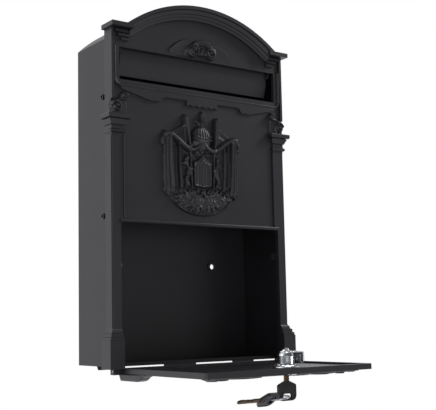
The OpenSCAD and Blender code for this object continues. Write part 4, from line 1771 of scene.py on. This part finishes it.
@dataclass
class Studio:
    """Light table, soft lights and camera."""

    camera_place: Point3 = (-603.6, -933.2, -166.5)
    camera_yaw: float = 35.79
    camera_pitch: float = 6.80
    camera_roll: float = -1.17
    lens: float = 76.1
    shift: Point = (0.014, 0.0133)
    floor_drop: float = 420.0
    floor_reach: float = 9000.0
    front_glow: Point = (0.10, 0.56)
    front_edge: Point = (0.34, -0.02)
    back_glow: float = 1.0
    right_glow: float = 0.6
    top_glow: float = 0.30
    left_edge: Point = (-0.5, -1.0)
    back_edge: Point = (-0.05, 0.6)
    right_edge: Point = (0.55, 1.0)
    top_edge: Point = (0.2, 0.9)
    left_watts: float = 3.0
    right_watts: float = 8.0
    front_watts: float = 5.0

    def build(self) -> None:
        """Builds the world, the floor, the lights and the camera."""
        bpy.context.scene.view_settings.view_transform = "Standard"
        self.build_world()
        self.build_floor()
        self.build_lights()
        self.build_camera()

    def build_world(self) -> None:
        """Surrounds the object with a light tent: bright behind and at the left, dim in front.

        The camera sees the tent as plain white.
        """
        world = bpy.data.worlds.new("light_tent")
        bpy.context.scene.world = world
        world.use_nodes = True
        tree = world.node_tree
        tree.nodes.clear()
        direction = add_node(tree, "ShaderNodeTexCoord").outputs["Generated"]
        axes = add_node(tree, "ShaderNodeSeparateXYZ", inputs={"Vector": direction})
        left = self.ramp(tree, axes.outputs["X"], self.left_edge, 1.0)
        back = self.ramp(tree, axes.outputs["Y"], self.back_edge, self.back_glow)
        right = self.ramp(tree, axes.outputs["X"], self.right_edge, self.right_glow)
        top = self.ramp(tree, axes.outputs["Z"], self.top_edge, self.top_glow)
        glow = self.ramp(tree, axes.outputs["Z"], self.front_edge, *reversed(self.front_glow))
        for part in (left, back, right, top):
            glow = add_node(
                tree, "ShaderNodeMath", {"operation": "MAXIMUM"}, {0: glow, 1: part}
            ).outputs["Value"]
        path = add_node(tree, "ShaderNodeLightPath")
        tent = add_node(
            tree, "ShaderNodeBackground", inputs={"Color": linear("#fbfbff"), "Strength": glow}
        )
        seen = add_node(
            tree, "ShaderNodeBackground", inputs={"Color": linear("#ffffff"), "Strength": 1.0}
        )
        mix = add_node(
            tree,
            "ShaderNodeMixShader",
            inputs={
                0: path.outputs["Is Camera Ray"],
                1: tent.outputs["Background"],
                2: seen.outputs["Background"],
            },
        )
        add_node(tree, "ShaderNodeOutputWorld", inputs={"Surface": mix.outputs["Shader"]})

    def ramp(
        self,
        tree: bpy.types.NodeTree,
        value: bpy.types.NodeSocket,
        edge: Point,
        top: float,
        foot: float = 0.0,
    ) -> bpy.types.NodeSocket:
        """Returns a smooth ramp of a direction, from foot at its first edge to top at its second.

        Args:
            tree: Node tree of the world.
            value: Direction that the ramp runs along.
            edge: Values at which the ramp starts and ends.
            top: Result at the end of the ramp.
            foot: Result at its start.

        Returns:
            The result socket.
        """
        return add_node(
            tree,
            "ShaderNodeMapRange",
            {"interpolation_type": "SMOOTHSTEP"},
            {"Value": value, "From Min": edge[0], "From Max": edge[1], "To Min": foot, "To Max": top},
        ).outputs["Result"]

    def build_floor(self) -> None:
        """Lays the light table below the object; it is plain white and lights nothing."""
        low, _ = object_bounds()
        height = low[2] / MM - self.floor_drop
        reach = self.floor_reach
        corners = [(x * reach, y * reach, height) for x, y in ((-1, -1), (1, -1), (1, 1), (-1, 1))]
        floor = mesh_object("light_table", corners, [(0, 1, 2, 3)], smooth=False)
        floor.data.materials.append(StudioPaper().build())
        floor.visible_diffuse = False
        floor.visible_glossy = False
        floor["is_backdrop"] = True

    def build_lights(self) -> None:
        """Hangs the soft boxes: broad ones at the left and low in front, a small one at the right."""
        self.soft_box("left_soft_box", (-1500.0, 100.0, 250.0), 900.0, self.left_watts)
        self.soft_box("right_soft_box", (1300.0, -500.0, 900.0), 500.0, self.right_watts)
        self.soft_box("front_soft_box", (-500.0, -1500.0, -500.0), 900.0, self.front_watts)

    def soft_box(self, name: str, place: Point3, size: float, watts: float) -> None:
        """Hangs one square area light that points at the middle of the object.

        Args:
            name: Name of the light.
            place: Its place in millimetres.
            size: Side of its face in millimetres.
            watts: Its power.
        """
        data = bpy.data.lights.new(name, "AREA")
        data.shape = "SQUARE"
        data.size = size * MM
        data.energy = watts
        lamp = bpy.data.objects.new(name, data)
        lamp.location = [c * MM for c in place]
        aim = Vector((0.0, -60.0, 0.0)) * MM - lamp.location
        lamp.rotation_euler = aim.to_track_quat("-Z", "Y").to_euler()
        bpy.context.scene.collection.objects.link(lamp)

    def build_camera(self) -> None:
        """Sets the camera at the front left, slightly below the middle of the box."""
        data = bpy.data.cameras.new("camera")
        data.lens = self.lens
        data.sensor_width = 36.0
        data.shift_x, data.shift_y = self.shift
        camera = bpy.data.objects.new("camera", data)
        camera.location = [c * MM for c in self.camera_place]
        level = Euler((math.radians(90 + self.camera_pitch), 0.0, -math.radians(self.camera_yaw)))
        roll = Matrix.Rotation(math.radians(self.camera_roll), 4, "Z")
        camera.rotation_euler = (level.to_matrix().to_4x4() @ roll).to_euler()
        bpy.context.scene.collection.objects.link(camera)
        bpy.context.scene.camera = camera


@dataclass
class PackedParts:
    """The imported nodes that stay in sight, and how much each one's edges are rounded."""

    finishes: Finishes
    nodes: dict[str, bpy.types.Object]
    slots: dict[str, Slot]
    interior_shaded_sheet_parts: tuple[str, ...] = ("rear_shell", "roof_sheet", "floor_pan")
    rounding: dict[str, float] = field(
        default_factory=lambda: {
            "front_casting": 0.45,
            "door_panel": 0.9,
            "flap_panel": 0.2,
            "cam_screw": 0.25,
            "side_screws": 0.2,
        }
    )

    def dress(self) -> None:
        """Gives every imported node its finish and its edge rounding."""
        for name, node in self.nodes.items():
            self.finishes.dress(node, self.slots[name])
            # Sheet parts inside the box take the darker coat, which is painted shade.
            if name in self.interior_shaded_sheet_parts:
                node.data.materials[0] = self.finishes.sheet
            if name in self.rounding:
                soften_edges(node, self.rounding[name])
        LOG.info("dressed %d packed nodes", len(self.nodes))


@dataclass
class Assembly:
    """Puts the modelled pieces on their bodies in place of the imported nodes.

    Attributes:
        finishes: Finishes of the pieces.
        spare_tilt: How far the spare key leans back from the upright, in degrees.
        plug_reach: Length of the key's blade inside the lock.
        key_reach: Length of the spare key's blade.
    """

    finishes: Finishes
    spare_tilt: float = 58.0
    plug_reach: float = 14.0
    key_reach: float = 21.0

    def attach(self, piece: bpy.types.Object, body: Body, slot: Slot, *nodes: str) -> None:
        """Fixes a piece to a body, with its finish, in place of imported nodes.

        Args:
            piece: The modelled piece.
            body: Body that it moves with.
            slot: Slot of its finish.
            nodes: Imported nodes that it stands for.
        """
        self.finishes.dress(piece, slot)
        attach(piece, body.value)
        if nodes:
            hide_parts(*nodes)
        LOG.info("%s rides on %s", piece.name, body.value)

    def build_reliefs(self) -> None:
        """Builds the applied relief of the front and the door."""
        self.attach(CrestRelief().build(), Body.HOUSING, Slot.POWDER, "crest_badge")
        self.attach(PedimentRelief().build(), Body.HOUSING, Slot.POWDER, "pediment_ornament")
        self.attach(ConsoleRelief().build(), Body.HOUSING, Slot.POWDER, "console_scrolls")
        self.attach(SlotBead().build(), Body.HOUSING, Slot.POWDER)
        self.attach(DoorRelief().build(), Body.DOOR, Slot.POWDER, "door_relief")

    def build_lock(self) -> None:
        """Builds the cam lock."""
        lock = CamLock()
        self.attach(lock.build_barrel(), Body.DOOR, Slot.CHROME, "lock_body")
        self.attach(lock.build_nut(), Body.DOOR, Slot.CHROME, "lock_nut")
        self.attach(lock.build_cam(), Body.LOCK, Slot.CHROME, "lock_cam")

    def build_keys(self) -> None:
        """Builds both keys and the ring that joins them."""
        low, high = box_mm("key_bow")
        ring_low, ring_high = box_mm("key_ring")
        size = (high[0] - low[0], high[2] - low[2], high[1] - low[1])
        slot_drop = Key.slot_drop
        top = Vector(((low[0] + high[0]) / 2, (low[1] + high[1]) / 2, high[2]))
        near = top - Vector((0.0, 0.0, slot_drop))
        far = Vector((ring_low + ring_high)) - near
        tilt = Matrix.Rotation(math.radians(self.spare_tilt), 4, "X")
        lean = tilt @ Matrix.Rotation(math.radians(-90), 4, "Y")
        spare_place = Matrix.Translation(far) @ lean @ Matrix.Translation((0.0, 0.0, slot_drop))
        key = Key("lock_key", Matrix.Translation(top), self.plug_reach, *size)
        spare = Key("spare_key", spare_place, self.key_reach, *size)
        self.attach(key.build_bow(), Body.LOCK, Slot.PLASTIC, "key_bow")
        self.attach(key.build_blade(), Body.LOCK, Slot.BRASS, "key_blade")
        self.attach(spare.build_bow(), Body.SPARE, Slot.PLASTIC, "spare_bow")
        self.attach(spare.build_blade(), Body.SPARE, Slot.BRASS, "spare_blade")
        ring = KeyRing().build(near, far, Vector((0.0, 1.0, 0.0)))
        self.attach(ring, Body.RING, Slot.WIRE, "key_ring")


def main() -> None:
    """Builds the whole scene."""
    logging.basicConfig(level=logging.INFO, format="%(message)s")
    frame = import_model()
    slots = {row["node"]: Slot(row["material_slot"]) for row in frame["record"]["subparts"]}
    finishes = Finishes().build()
    Studio().build()
    PackedParts(finishes, frame["nodes"], slots).dress()
    assembly = Assembly(finishes)
    assembly.build_reliefs()
    assembly.build_lock()
    assembly.build_keys()


if __name__ == "__main__":
    main()
